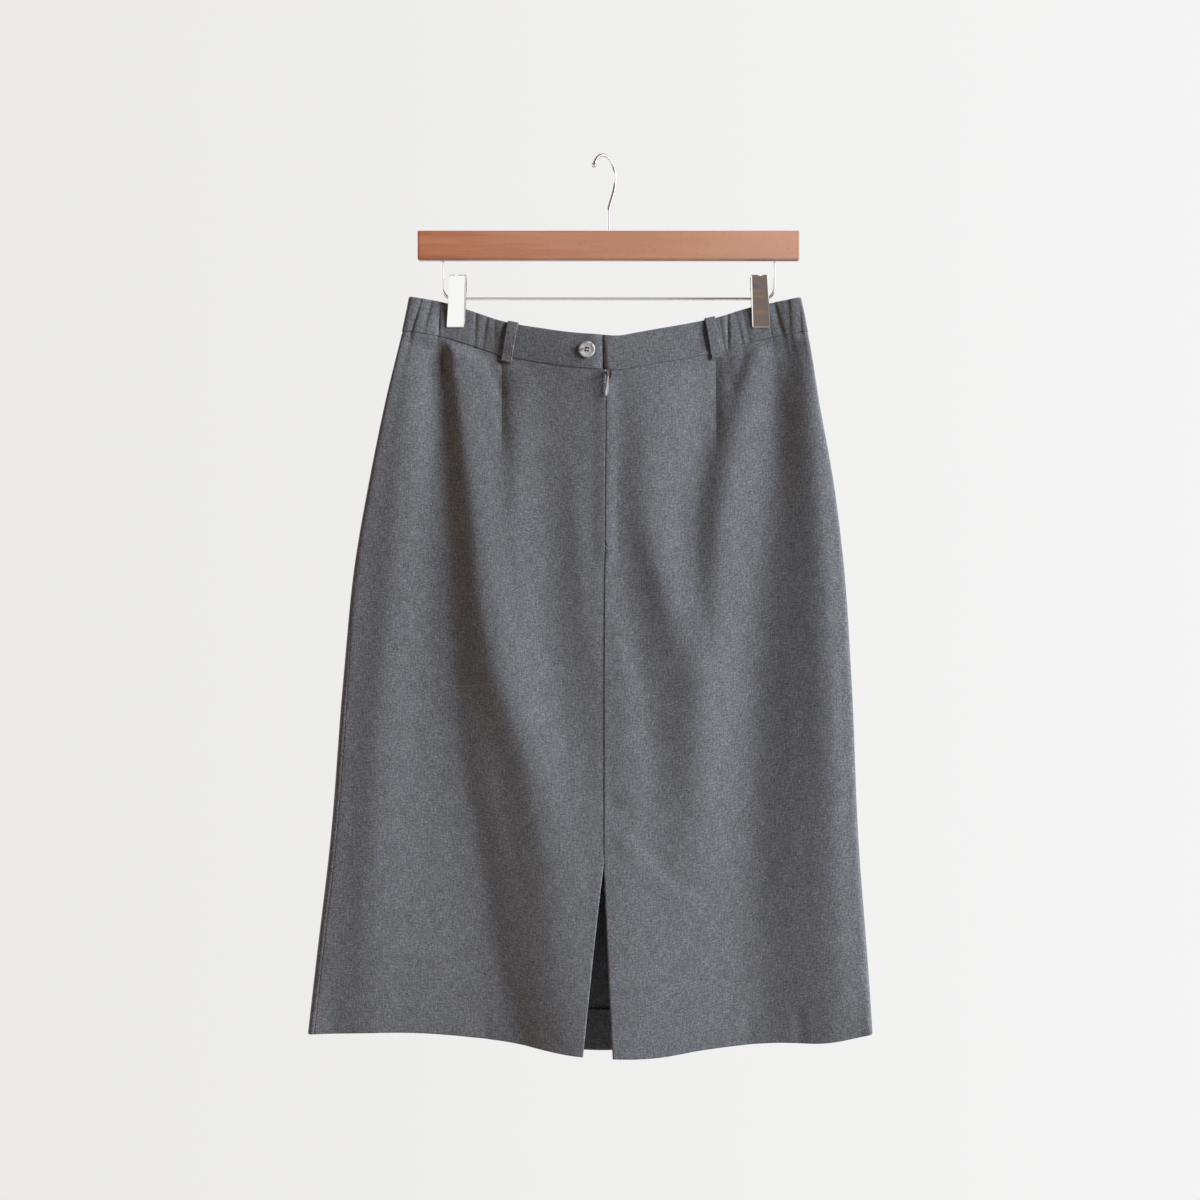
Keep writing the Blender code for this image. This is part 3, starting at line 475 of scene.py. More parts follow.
def nudge(turn, level, distance):
    """A turn moved along the cloth by a distance."""
    speed = np.linalg.norm(tube(turn + 0.002, level) - tube(turn - 0.002, level), axis=-1) / 0.004
    return turn + distance / speed


def add_piece(name, mesh, material, body, sharp=40):
    """Adds a finished mesh to the scene, riding on its body."""
    mesh.materials.clear()
    mesh.materials.append(material)
    mesh.shade_smooth()
    mesh.set_sharp_from_angle(angle=math.radians(sharp))
    piece = bpy.data.objects.new(name, mesh)
    bpy.context.collection.objects.link(piece)
    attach(piece, body)
    return piece


def cloth(name, turns, levels, lifts, wall, material):
    """A closed sheet of cloth. turns, levels and lifts are grids of places on the tube, and the
    lift is the middle of the cloth's distance outside it. The UV map is the cloth's own cut, in
    metres along and down the grain."""
    turns, levels, lifts = np.broadcast_arrays(turns, levels, lifts)
    middle = tube(turns, levels) + outward(turns, levels) * lifts[..., None] + np.array(STEM)
    along, down = np.gradient(middle, axis=1), np.gradient(middle, axis=0)
    normal = np.cross(down, along)
    normal /= np.linalg.norm(normal, axis=-1, keepdims=True)
    half = normal * np.broadcast_to(np.asarray(wall, float)[..., None] / 2, middle.shape)
    rows, columns = turns.shape
    steps = np.linalg.norm(np.diff(middle, axis=1), axis=-1)
    u = np.concatenate((np.zeros((rows, 1)), np.cumsum(steps, axis=1)), axis=1)
    u -= u[:, columns // 2][:, None]
    drops = np.linalg.norm(np.diff(middle, axis=0), axis=-1)
    v = -np.concatenate((np.zeros((1, columns)), np.cumsum(drops, axis=0)))
    outer = np.arange(rows * columns).reshape(rows, columns)
    inner = outer + rows * columns

    def quads(a, b, c, d):
        return np.stack((a, b, c, d), axis=-1).reshape(-1, 4)

    faces = np.concatenate((
        quads(outer[:-1, :-1], outer[1:, :-1], outer[1:, 1:], outer[:-1, 1:]),
        quads(inner[:-1, :-1], inner[:-1, 1:], inner[1:, 1:], inner[1:, :-1]),
        quads(outer[:-1, 0], inner[:-1, 0], inner[1:, 0], outer[1:, 0]),
        quads(outer[:-1, -1], outer[1:, -1], inner[1:, -1], inner[:-1, -1]),
        quads(outer[0, :-1], outer[0, 1:], inner[0, 1:], inner[0, :-1]),
        quads(outer[-1, :-1], inner[-1, :-1], inner[-1, 1:], outer[-1, 1:]),
    ))
    points = np.concatenate(((middle + half).reshape(-1, 3), (middle - half).reshape(-1, 3)))
    mesh = bpy.data.meshes.new(name)
    mesh.from_pydata(points.tolist(), [], faces.tolist())
    cut = np.tile(np.stack((u, v), axis=-1).reshape(-1, 2), (2, 1))
    mesh.uv_layers.new(name="cut")
    mesh.uv_layers["cut"].data.foreach_set("uv", cut[faces.ravel()].astype(np.float32).ravel())
    return add_piece(name, mesh, material, "skirt", sharp=55)


def new_material(name, sockets):
    """A Principled material with these sockets set, its tree and its shader."""
    material = bpy.data.materials.new(name)
    material.use_nodes = True
    shader = material.node_tree.nodes["Principled BSDF"]
    for socket, value in sockets.items():
        shader.inputs[socket].default_value = value
    return material, material.node_tree, shader


def set_stops(ramp, first, last, between=None):
    """Gives a colour ramp its stops, each a position and a hex colour."""
    elements = ramp.color_ramp.elements
    for element, (position, tint) in zip(elements, (first, last)):
        element.position, element.color = position, colour(tint)
    if between:
        elements.new(between[0]).color = colour(between[1])


# A wave texture of scale 1 repeats once in this many metres.
WAVE_LONG = 2 * math.pi / 20


def wool_twill(name, dark, middle, light):
    """Melange wool twill: dyed and undyed fibres spun together, so each yarn changes shade along
    its length, woven in a fine diagonal rib, with a short nap that catches grazing light. A real
    yarn is about 0.4 mm thick. The streaks here are twice that, so that they still show."""
    material, tree, shader = new_material(name, {
        "Roughness": 0.92, "Specular IOR Level": 0.10, "Sheen Weight": 0.22,
        "Sheen Roughness": 0.5, "Sheen Tint": colour("C8CCD4"),
    })
    cut = add_node(tree, "ShaderNodeUVMap", uv_map="cut").outputs["UV"]

    def yarns(size_along, size_down, contrast):
        """Noise with features of this size in metres, along and down the grain."""
        spread = add_node(tree, "ShaderNodeMapping", {
            0: cut, "Scale": (1 / size_along, 1 / size_down, 1.0)}).outputs[0]
        grain = add_node(tree, "ShaderNodeTexNoise", {
            "Vector": spread, "Scale": 1.0, "Detail": 2.0, "Roughness": 0.6},
            noise_dimensions="2D").outputs["Fac"]
        return add_node(tree, "ShaderNodeMapRange", {
            0: grain, 1: 0.5 - contrast, 2: 0.5 + contrast}).outputs[0]

    warp = yarns(0.0012, 0.0080, 0.30)
    weft = yarns(0.0070, 0.0012, 0.30)
    fleck = yarns(0.0019, 0.0016, 0.26)
    cloud = yarns(0.0120, 0.0200, 0.4)
    crossed = add_node(tree, "ShaderNodeMix", {0: 0.5, 2: warp, 3: weft}).outputs[0]
    mottle = add_node(tree, "ShaderNodeMix", {0: 0.42, 2: crossed, 3: fleck}).outputs[0]
    shade = add_node(tree, "ShaderNodeMix", {0: 0.14, 2: mottle, 3: cloud}).outputs[0]
    ramp = add_node(tree, "ShaderNodeValToRGB", {0: shade})
    set_stops(ramp, (0.16, dark), (0.84, light), (0.5, middle))
    tinted = add_node(tree, "ShaderNodeMix", {
        0: yarns(0.0050, 0.0036, 0.20), 6: colour("8C7A69"), 7: colour("747F8E")},
        data_type="RGBA").outputs[2]
    blend = add_node(tree, "ShaderNodeMix", {
        0: 0.40, 6: ramp.outputs[0], 7: tinted}, data_type="RGBA", blend_type="OVERLAY").outputs[2]
    tree.links.new(blend, shader.inputs["Base Color"])
    rib = add_node(tree, "ShaderNodeMapping", {
        0: cut, "Rotation": (0.0, 0.0, math.radians(63))}).outputs[0]
    twill = add_node(tree, "ShaderNodeTexWave", {
        "Vector": rib, "Scale": WAVE_LONG / 0.0013, "Distortion": 1.2, "Detail": 1.0,
        "Detail Scale": 3.0}, wave_type="BANDS").outputs["Fac"]
    relief = add_node(tree, "ShaderNodeMix", {0: 0.4, 2: mottle, 3: twill}).outputs[0]
    bump = add_node(tree, "ShaderNodeBump", {
        "Strength": 0.5, "Distance": 0.0003, "Height": relief}).outputs[0]
    tree.links.new(bump, shader.inputs["Normal"])
    return material


wool = wool_twill("grey melange wool twill", "4B4A48", "6E6D6C", "949391")

# The darts, one on the left and one on the right, are sewn from the band down.
DART_ACROSS = (-0.1005, 0.1015)
DART_LENGTH = 0.105
DART_DEEP = 0.0013
DART_WIDE = 0.0045
DART_LINE = 0.0012
DART_LINE_SHARE = 0.18
DART_FADES_FROM = 0.55

# The side seams roll round the tube's edges by these degrees.
RIGHT_SEAM_ROLL = 4
LEFT_SEAM_ROLL = 13

# The centre-back seam runs from the zip's end to the slit, pressed to the right.
SEAM_ACROSS = -0.0042
SEAM_TOP_ACROSS = -0.0024
SEAM_STEP = 0.0003
SEAM_STEP_WIDE = 0.0045
SEAM_RUN_OUT = 0.012
SLIT_TOP_BELOW = 0.662
SLIT_LEFT_ACROSS = -0.0241
SLIT_RIGHT_ACROSS = 0.0042
HEM_MIDDLE_BELOW = 0.845

# The left panel laps over the zip. The right one runs on under it, below the slider.
ZIP_END_BELOW = 0.378
SLIDER_RIGHT = 0.0016
SLIDER_FOOT_BELOW = 0.2080
LAP_WIDE = 0.014
LAP_RISE = 0.0010
LAP_LIP = 0.0003
LAP_GROOVE = 0.0011
LAP_GROOVE_WIDE = 0.0009
UNDERLAP = 0.003
UNDERLAP_STARTS = 0.007
UNDERLAP_ENDS = 0.016

# The cloth that is turned in: at the side seams, at the back edges and at the hem.
SEAM_ALLOWANCE = 0.011
FACING = 0.026
TURN_UP = 0.038

# Where the elastic draws the side bands into tucks: the hollows' distances from the belt loop
# along the band, those that face the viewer first, and then a few more round to the front. They
# are counted at the level BAND_RULER, a little above the band's seam.
LOOP_SEAM_ACROSS = (-0.0928, 0.0985)
BAND_RULER = -0.2
BACK_TUCKS = {
    False: (0.0060, 0.0157, 0.0258, 0.0352, 0.0455, 0.0590, 0.0712, 0.0827),
    True: (0.0049, 0.0106, 0.0169, 0.0277, 0.0375, 0.0480, 0.0568, 0.0669, 0.0770),
}
TUCK_DEEP = {False: 0.0010, True: 0.0011}
TUCK_HIGH = 0.014
TUCK_GENTLE = 2.2
TUCK_STEEP = 0.8
TUCK_SPREADS = 0.05
TUCK_ENDS = 0.004
chance = np.random.default_rng(7)
TUCKS = {}
for right_side, hollows in BACK_TUCKS.items():
    places = np.concatenate((hollows, hollows[-1] + np.cumsum(chance.uniform(0.0085, 0.0118, 11))))
    depths = chance.uniform(0.55, 1.25, len(places)) * TUCK_DEEP[right_side]
    lengths = chance.uniform(0.012, 0.050, len(places))
    half_widths = chance.uniform(0.0011, 0.0022, len(places))
    leans = chance.uniform(-0.16, 0.10, len(places))
    deepest = chance.uniform(-0.030, 0.0, len(places))
    TUCKS[right_side] = list(zip(places, depths, lengths, half_widths, leans, deepest))

round_turns = np.linspace(-1.6 * math.pi, 1.6 * math.pi, 1600)
round_steps = np.linalg.norm(np.diff(tube(round_turns, BAND_RULER), axis=0), axis=-1)
round_length = np.concatenate(([0.0], np.cumsum(round_steps)))


def from_loop(turn, right):
    """The distance along the band from the back belt loop's seam, out and round the side."""
    loop_turn = turn_at(LOOP_SEAM_ACROSS[int(right)], BAND_RULER)
    loop = np.interp(loop_turn, round_turns, round_length)
    here = np.interp(turn, round_turns, round_length)
    return here - loop if right else loop - here


def tucks(turn, right, drop):
    """How deep the elastic's tucks are here. drop is the distance under the band's seam. Each is
    steeper on its right and widens as it runs down. On the band none lies under a clip."""
    along = from_loop(turn, right)
    under = np.maximum(drop, 0.0)
    total = 0.0
    for place, deep, length, half_wide, lean, deepest in TUCKS[right]:
        near = np.exp(-(((drop - deepest) / TUCK_HIGH) ** 2))
        fade = np.exp(-under / length) * (0.5 + 0.5 * near)
        off = along - place - lean * (np.minimum(drop, 0.0) + BAND_HEIGHT / 2)
        wide = half_wide * np.where((off < 0) == right, TUCK_GENTLE, TUCK_STEEP)
        wide = wide + TUCK_SPREADS * under
        total = total - deep * fade * np.exp(-((off / wide) ** 2))
    off_clip = abs(abs(tube(turn, BAND_RULER)[..., 0]) - CLIP_ACROSS)
    clear_of_clip = ease(CLIP_HALF_WIDE - 0.001, CLIP_HALF_WIDE + 0.004, off_clip)
    mirror = (math.pi if right else -math.pi) - turn
    inside = ease(0.0, TUCK_ENDS, along) * ease(0.0, TUCK_ENDS, from_loop(mirror, right))
    return total * np.maximum(clear_of_clip, ease(0.0, 0.02, drop)) * inside


def side_seam(level, right):
    """The turn where a side seam lies: at the tube's edge. Down the cloth the left one rolls
    round to the back, and the right one a little to the front."""
    if right:
        return np.radians(90 + RIGHT_SEAM_ROLL * ease(0.0, 0.3, level))
    return np.radians(-90 + LEFT_SEAM_ROLL * ease(0.15, 0.55, level))


def seam_across(below):
    """How far across the centre-back seam and the zip above it lie."""
    return mix(SEAM_TOP_ACROSS, SEAM_ACROSS, ease(0.20, 0.50, below))


def centre_back(level, right):
    """How far across a back panel's centre edge lies."""
    below = -tube(0.0, level)[..., 2]
    seam = seam_across(below)
    slit_long = HEM_MIDDLE_BELOW - SLIT_TOP_BELOW
    open_share = np.maximum(below - SLIT_TOP_BELOW, 0.0) / slit_long
    if not right:
        return mix(seam, SLIT_LEFT_ACROSS, open_share ** 0.9) - GAP / 2
    past_slider = ease(SLIDER_FOOT_BELOW, SLIDER_FOOT_BELOW + UNDERLAP_STARTS, below)
    untucks_below = ZIP_END_BELOW - UNDERLAP_ENDS
    tucked = past_slider * (1 - ease(untucks_below, untucks_below + 0.010, below))
    seam = seam - (UNDERLAP + GAP) * tucked
    seam = seam + (SLIDER_RIGHT + GAP - SEAM_TOP_ACROSS) * (1 - past_slider)
    return mix(seam, SLIT_RIGHT_ACROSS, open_share ** 1.1) + GAP / 2


def lap_lift(across, level):
    """The left panel stands off where it laps over the zip."""
    below = -tube(turn_at(across, level), level)[..., 2]
    along = ease(0.0, LAP_WIDE, across + LAP_WIDE - centre_back(level, False))
    return LAP_RISE * along * (1 - ease(ZIP_END_BELOW, ZIP_END_BELOW + SEAM_RUN_OUT, below))


def beside_lap(across, level):
    """The right panel rises to meet the lap, and dips in under it in a narrow groove."""
    below = -tube(turn_at(across, level), level)[..., 2]
    past = across - centre_back(level, False)
    rise = (LAP_RISE + LAP_LIP) * (1 - ease(0.0020, LAP_WIDE, past))
    groove = (LAP_RISE + LAP_LIP + LAP_GROOVE) * (1 - ease(0.0, LAP_GROOVE_WIDE, past))
    zipped = ease(SLIDER_FOOT_BELOW, SLIDER_FOOT_BELOW + 0.010, below)
    past_zip = ease(ZIP_END_BELOW, ZIP_END_BELOW + SEAM_RUN_OUT, below)
    return (rise - groove) * zipped * (1 - past_zip)


def seam_step(across, level, right):
    """The centre-back seam is pressed to the right, so that side stands a little higher."""
    below = -tube(turn_at(across, level), level)[..., 2]
    beside = np.exp(-(((across - centre_back(level, right)) / SEAM_STEP_WIDE) ** 2))
    along = ease(ZIP_END_BELOW, ZIP_END_BELOW + SEAM_RUN_OUT, below)
    along = along * (1 - ease(SLIT_TOP_BELOW - SEAM_RUN_OUT, SLIT_TOP_BELOW, below))
    return (SEAM_STEP if right else -SEAM_STEP) * beside * along


def dart_dip(off, drop):
    """A dart's stitched crease: a sharp line in a soft hollow that runs out to nothing."""
    fade = 1 - ease(DART_FADES_FROM * DART_LENGTH, DART_LENGTH, drop)
    line = np.maximum(1 - abs(off) / DART_LINE, 0.0) ** 0.7
    hollow = np.exp(-((off / DART_WIDE) ** 2))
    crease = DART_LINE_SHARE * line + (1 - DART_LINE_SHARE) * hollow
    return -DART_DEEP * fade * crease


# A fold is a half circle, FOLD_LONG round, with these steps in it. A panel's top edge dips under
# the band, and its turn-up is cut short under the facings.
FOLD_LONG = math.pi * FOLD_RADIUS
FOLD_STEPS = np.linspace(0.0, math.pi, 6)[1:] * FOLD_RADIUS
EDGE_DIP = 0.0003
EDGE_DIP_WIDE = 0.0030
TURN_UP_AT_FACING = 0.003


def fold_under(beyond):
    """How far cloth reaches past the start of a fold, and how far it sinks behind it."""
    angle = np.clip(beyond / FOLD_RADIUS, 0.0, math.pi)
    behind = np.maximum(beyond - FOLD_LONG, 0.0)
    return FOLD_RADIUS * np.sin(angle) - behind, -FOLD_RADIUS * (1 - np.cos(angle))


def allowance(width):
    """Distances beyond a fold's start, over the bend and back along the inside."""
    return np.concatenate((FOLD_STEPS, FOLD_LONG + np.linspace(0.002, width, 8)))


# A panel's rows are close where the cloth is puckered, under the band, and at the hem. The last
# ones go over the hem's fold and up the turn-up: past the fold they are shares of its height.
drops = np.concatenate((
    [SEAM_GAP / 2, 0.0007, 0.0014, 0.0022], np.linspace(0.0034, 0.060, 36),
    np.linspace(0.0644, DROP - 0.012, 128), np.linspace(DROP - 0.009, DROP - FOLD_RADIUS, 7)))
hem_rows = np.concatenate((FOLD_STEPS, FOLD_LONG + np.linspace(0.05, 1.0, 7)))
PANEL_LEVELS = np.concatenate((drops, np.full(len(hem_rows), drops[-1])))[:, None] / DROP
OVER_HEM = np.concatenate((np.zeros(len(drops)), hem_rows))[:, None]


def panel(name, stops, counts, first_edge, last_edge, relief, turn_up):
    """A panel between two folded edges. stops gives the turns that its columns are spread
    between, for a column of levels, relief the lift of the finished face, and turn_up the height
    of the turned-up hem."""
    turns_at = stops(PANEL_LEVELS)
    columns = [mix(a, b, np.linspace(0, 1, count + 1)[None, :-1])
               for a, b, count in zip(turns_at, turns_at[1:], counts)]
    body = np.concatenate(columns + [turns_at[-1]], axis=1)
    first_reach, first_sink = fold_under(allowance(first_edge)[::-1][None, :])
    last_reach, last_sink = fold_under(allowance(last_edge)[None, :])
    before = nudge(body[:, :1], PANEL_LEVELS, -first_reach)
    after = nudge(body[:, -1:], PANEL_LEVELS, last_reach)
    turns = np.concatenate((before, body, after), axis=1)
    sinks = np.concatenate((
        np.broadcast_to(first_sink, before.shape), np.zeros(body.shape),
        np.broadcast_to(last_sink, after.shape)), axis=1)
    past_fold = np.maximum(OVER_HEM - FOLD_LONG, 0.0) * turn_up(turns, PANEL_LEVELS)
    hem_reach, hem_sink = fold_under(np.minimum(OVER_HEM, FOLD_LONG) + past_fold)
    levels = PANEL_LEVELS + hem_reach / DROP
    lift = relief(turns, levels) + sinks + hem_sink - WALL / 2
    return cloth(name, turns, levels, lift, WALL, wool)


def band_edge(levels):
    """The panel dips under the waistband's lower edge."""
    return -EDGE_DIP * (1 - ease(0.0, EDGE_DIP_WIDE, levels * DROP))


def back_panel(right):
    """One of the two back panels, with its dart, its tucks under the elastic and its lap."""
    sign = 1 if right else -1
    dart = DART_ACROSS[int(right)]

    def stops(levels):
        """Where its columns bunch up: at the dart, and along the centre edge."""
        seam = nudge(side_seam(levels, right), levels, -sign * (GAP / 2 + FOLD_RADIUS))
        centre = centre_back(levels, right) + sign * FOLD_RADIUS
        across = [dart + sign * off for off in (DART_WIDE, DART_LINE, -DART_LINE, -DART_WIDE)]
        across += [centre + sign * off for off in (LAP_WIDE, 0.0050, 0.0030, 0.0)]
        turns = [seam] + [turn_at(a, levels) for a in across]
        return turns[::-1] if right else turns

    def relief(turns, levels):
        """The dart, the tucks, the seam's step and the lap."""
        across = tube(turns, levels)[..., 0]
        drop = levels * DROP
        lift = dart_dip(across - dart, drop) + tucks(turns, right, drop) + band_edge(levels)
        lift = lift + seam_step(across, levels, right)
        if right:
            return lift + beside_lap(across, levels)
        return lift + lap_lift(across, levels)

    def turn_up(turns, levels):
        """The hem's turn-up is cut short where the slit's facing lies over it."""
        from_slit = abs(tube(turns, levels)[..., 0] - centre_back(levels, right))
        past_facing = ease(FACING - 0.002, FACING + 0.004, from_slit)
        return mix(TURN_UP_AT_FACING, TURN_UP, past_facing)

    counts = [58, 6, 8, 6, 34, 8, 9, 6]
    edges = (SEAM_ALLOWANCE, FACING)
    if right:
        counts, edges = counts[::-1], edges[::-1]
    side = "right" if right else "left"
    piece = panel(f"back_panel_{side}_cloth", stops, counts, *edges, relief, turn_up)
    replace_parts(piece, f"back_panel_{side}")
    return piece


back_left = back_panel(False)
back_right = back_panel(True)

# ---------------------------------------------------------------- front panel
# One panel of the same wool with two plain darts, hanging in its own folds.


def front_stops(levels):
    """From the right side seam round to the left one, with the two darts between."""
    start = nudge(side_seam(levels, True), levels, GAP / 2 + FOLD_RADIUS)
    end = nudge(side_seam(levels, False) + 2 * math.pi, levels, -GAP / 2 - FOLD_RADIUS)
    across = [dart + off for dart in reversed(DART_ACROSS)
              for off in (DART_WIDE, DART_LINE, -DART_LINE, -DART_WIDE)]
    return [start] + [turn_at(a, levels, True) for a in across] + [end]


def front_relief(turns, levels):
    """The two darts, and the tucks that run round from the elastic."""
    across = tube(turns, levels)[..., 0]
    drop = levels * DROP
    left_turns = turns - 2 * math.pi
    lift = band_edge(levels) + sum(dart_dip(across - dart, drop) for dart in DART_ACROSS)
    return lift + np.where(across > 0, tucks(turns, True, drop), tucks(left_turns, False, drop))


front = panel("front_panel_cloth", front_stops, [44, 5, 6, 5, 60, 5, 6, 5, 44],
              SEAM_ALLOWANCE, SEAM_ALLOWANCE, front_relief,
              lambda turns, levels: np.full(np.shape(turns), TURN_UP))
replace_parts(front, "front_panel")

# ---------------------------------------------------------------- waistband
# A doubled strip of the same wool. It lies flat across the back and front, and a wide elastic
# draws it into tucks at the sides. Its left end laps over the right one and buttons there.
BAND_END_ACROSS = -0.0055
BAND_UNDER_ACROSS = -0.0380
BAND_PROUD = 0.0002
SIDE_PROUD = 0.0004
# At the lap the right end sinks in, and the left one rises over it. Its free end is pressed thin.
BAND_SINK = 0.0027
BAND_LAP_RISE = BAND_WALL + GAP - BAND_SINK + BAND_PROUD
LAP_RISES_FROM = -0.088
LAP_RISES_TO = -0.038
PRESSED_WIDE = 0.004
# The edges are rounded over ROUND, and the elastic sides more tightly at their lower edge.
ROUND = 0.0010
ROUND_SHARE = 0.012
SIDE_LOWER_ROUND = 2.5

# Rows and columns are close at the rounded edges.
edge_steps = np.array([0.0, 0.06, 0.22, 0.5, 1.0])
edge_rows = edge_steps * ROUND
band_drops = np.concatenate((edge_rows, np.linspace(0.003, BAND_HEIGHT - 0.003, 22),
                             BAND_HEIGHT - edge_rows[::-1]))
BAND_LEVELS = ((band_drops - BAND_HEIGHT) / BAND_HEIGHT)[:, None]
BAND_LEVELS = BAND_LEVELS * (1 - SEAM_GAP / BAND_HEIGHT / 2) - SEAM_GAP / BAND_HEIGHT / 2


def rounded(distance):
    """The share of its full thickness that a folded edge has at a distance from its end."""
    return np.sqrt(np.maximum(1 - (1 - np.clip(distance / ROUND, 0.0, 1.0)) ** 2, 0.01))


def band_lap(across):
    """The left end of the band rises to lap over the right one."""
    return BAND_LAP_RISE * ease(LAP_RISES_FROM, LAP_RISES_TO, across)


def band_sink(across):
    """The right end of the band runs in under the left one, most steeply at its lower edge."""
    reach = mix(0.0065, 0.0030, -BAND_LEVELS)
    return BAND_SINK * (1 - ease(0.0, 1.0, (across - BAND_END_ACROSS + 0.001) / reach))


def band(place, start, end, count, lift):
    """A stretch of the waistband between two turns, rounded at its top and its seam. lift gives how
    far its face stands proud. The lap's free end is pressed thin."""
    node = f"waistband_{place}"
    elastic = place.startswith("side")
    shares = np.concatenate((edge_steps * ROUND_SHARE, np.linspace(0.02, 0.98, count),
                             1 - edge_steps[::-1] * ROUND_SHARE))
    turns = mix(start(BAND_LEVELS), end(BAND_LEVELS), shares[None, :])
    middle = tube(turns, BAND_LEVELS)
    ends = np.linalg.norm(middle - middle[:, :1], axis=-1)
    ends = np.minimum(ends, np.linalg.norm(middle - middle[:, -1:], axis=-1))
    lower_edge = rounded(band_drops[::-1] * (SIDE_LOWER_ROUND if elastic else 1.0))
    wall = BAND_WALL * (rounded(band_drops) * lower_edge)[:, None]
    at_end = np.exp(-(((middle[..., 0] - BAND_END_ACROSS) / PRESSED_WIDE) ** 2))
    pressed = 1 - 0.5 * at_end * (place == "back_left")
    wall = wall * rounded(ends) * pressed
    lifts = lift(turns, middle[..., 0]) - BAND_WALL * (1 - pressed / 2)
    piece = cloth(f"{node}_cloth", turns, BAND_LEVELS, lifts, wall, wool)
    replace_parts(piece, node)


def flat_end(across, side, front_face=False):
    """A stretch's end, half a gap to one side of a place across, as turns for its levels."""
    return lambda levels: nudge(turn_at(across, levels, front_face), levels, side * GAP / 2)


def side_bulge(turns, right):
    """The tucked band stands up between its hollows."""
    return SIDE_PROUD + tucks(turns, right, BAND_LEVELS * BAND_HEIGHT)


def left_front_end(levels):
    """The left side's front end, a full turn back, so that its turns run on from the loop."""
    return flat_end(LEFT_LOOP, 1, True)(levels) - 2 * math.pi


LEFT_LOOP, RIGHT_LOOP = LOOP_SEAM_ACROSS
band("back_left", flat_end(LEFT_LOOP, 1), flat_end(BAND_END_ACROSS, -1), 60,
     lambda turns, across: band_lap(across) + BAND_PROUD)
band("back_right", flat_end(BAND_UNDER_ACROSS, 1), flat_end(RIGHT_LOOP, -1), 90,
     lambda turns, across: BAND_PROUD - band_sink(across))
band("front", flat_end(RIGHT_LOOP, 1, True), flat_end(LEFT_LOOP, -1, True), 120,
     lambda turns, across: np.full(np.shape(turns), BAND_PROUD))
band("side_right", flat_end(RIGHT_LOOP, 1), flat_end(RIGHT_LOOP, -1, True), 260,
     lambda turns, across: side_bulge(turns, True))
band("side_left", left_front_end, flat_end(LEFT_LOOP, -1), 280,
     lambda turns, across: side_bulge(turns, False))

# ---------------------------------------------------------------- belt loops
# Four folded strips of the same wool, edge stitched, each caught in behind the waistband's top
# and stitched down just below its seam. They stand a little clear of the band in between.
LOOP_WALL = 0.0016
LOOP_WIDTH = 0.0098
LOOP_LEAN = 0.0055
LOOP_STAND = 0.0011
LOOP_FOOT = 0.0052
EDGE_STITCH = 0.0017
STITCH_SINK = 0.00012
STITCH_SINK_WIDE = 0.0005


def loop_place(right, share):
    """A belt loop's middle line: how far across it lies, by its share of the way up."""
    lean = LOOP_LEAN * (-0.5 if right else 0.5)
    return LOOP_SEAM_ACROSS[int(right)] + lean * (2 * share - 1)


# Down a belt loop: the distance below the band's top, and the lift of the strip's middle. It
# comes up behind the band, over its top edge and down the face, and its foot is rounded off.
over_top = GAP + LOOP_WALL / 2
half_band = BAND_WALL / 2
loop_rows = np.array([(-over_top * math.sin(a), -half_band - (half_band + over_top) * math.cos(a))
                      for a in np.linspace(0.15, math.pi, 9)])
loop_drops = np.concatenate((np.linspace(0.0012, BAND_HEIGHT - 0.002, 26),
                             np.linspace(BAND_HEIGHT - 0.001, BAND_HEIGHT + LOOP_FOOT, 9)))
loop_up = 1 - loop_drops / BAND_HEIGHT
loop_lift = over_top + LOOP_STAND * ease(0.03, 0.32, loop_up) * ease(0.0, 0.30, 1 - loop_up)
loop_rows = np.concatenate((loop_rows, np.stack((loop_drops, loop_lift), axis=-1)))
loop_columns = np.array([-0.5, -0.485, -0.45, -0.40, -0.33, -0.27, -0.2, -0.1,
                         0.0, 0.1, 0.2, 0.27, 0.33, 0.40, 0.45, 0.485, 0.5]) * LOOP_WIDTH
loop_edge = LOOP_WIDTH / 2 - abs(loop_columns)


def band_level(drop):
    """The tube's level at a distance below the waistband's top."""
    under = drop - BAND_HEIGHT
    return np.where(under < 0, under / BAND_HEIGHT, under / DROP)


def belt_loop(face, hand):
    """One belt loop, on the back or the front face, over the seam at one hand."""
    right, front = hand == "right", face == "front"
    drop, lift = loop_rows[:, :1], loop_rows[:, 1:]
    levels = band_level(drop)
    middle = loop_place(right, 1 - drop / BAND_HEIGHT)
    turns = turn_at(middle + (-loop_columns if front else loop_columns)[None, :], levels, front)
    groove = STITCH_SINK * np.exp(-(((loop_edge - EDGE_STITCH) / STITCH_SINK_WIDE) ** 2))
    foot = rounded(np.maximum(loop_rows[-1, 0] - drop, 0.0))
    wall = LOOP_WALL * rounded(2.5 * loop_edge)[None, :] * foot
    name = f"belt_loop_{face}_{hand}"
    piece = cloth(f"{name}_cloth", turns, levels, lift - groove[None, :], wall, wool)
    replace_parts(piece, name)


for face in ("back", "front"):
    for hand in ("left", "right"):
        belt_loop(face, hand)

# ---------------------------------------------------------------- stitching
# Polyester sewing thread, a shade darker than the wool. A row of stitches is a line on the
# cloth, and Geometry Nodes lay one rounded stitch at a time along it.
THREAD = 0.00032
STITCH_LONG = 0.0023
STITCH_STEP = 0.0028

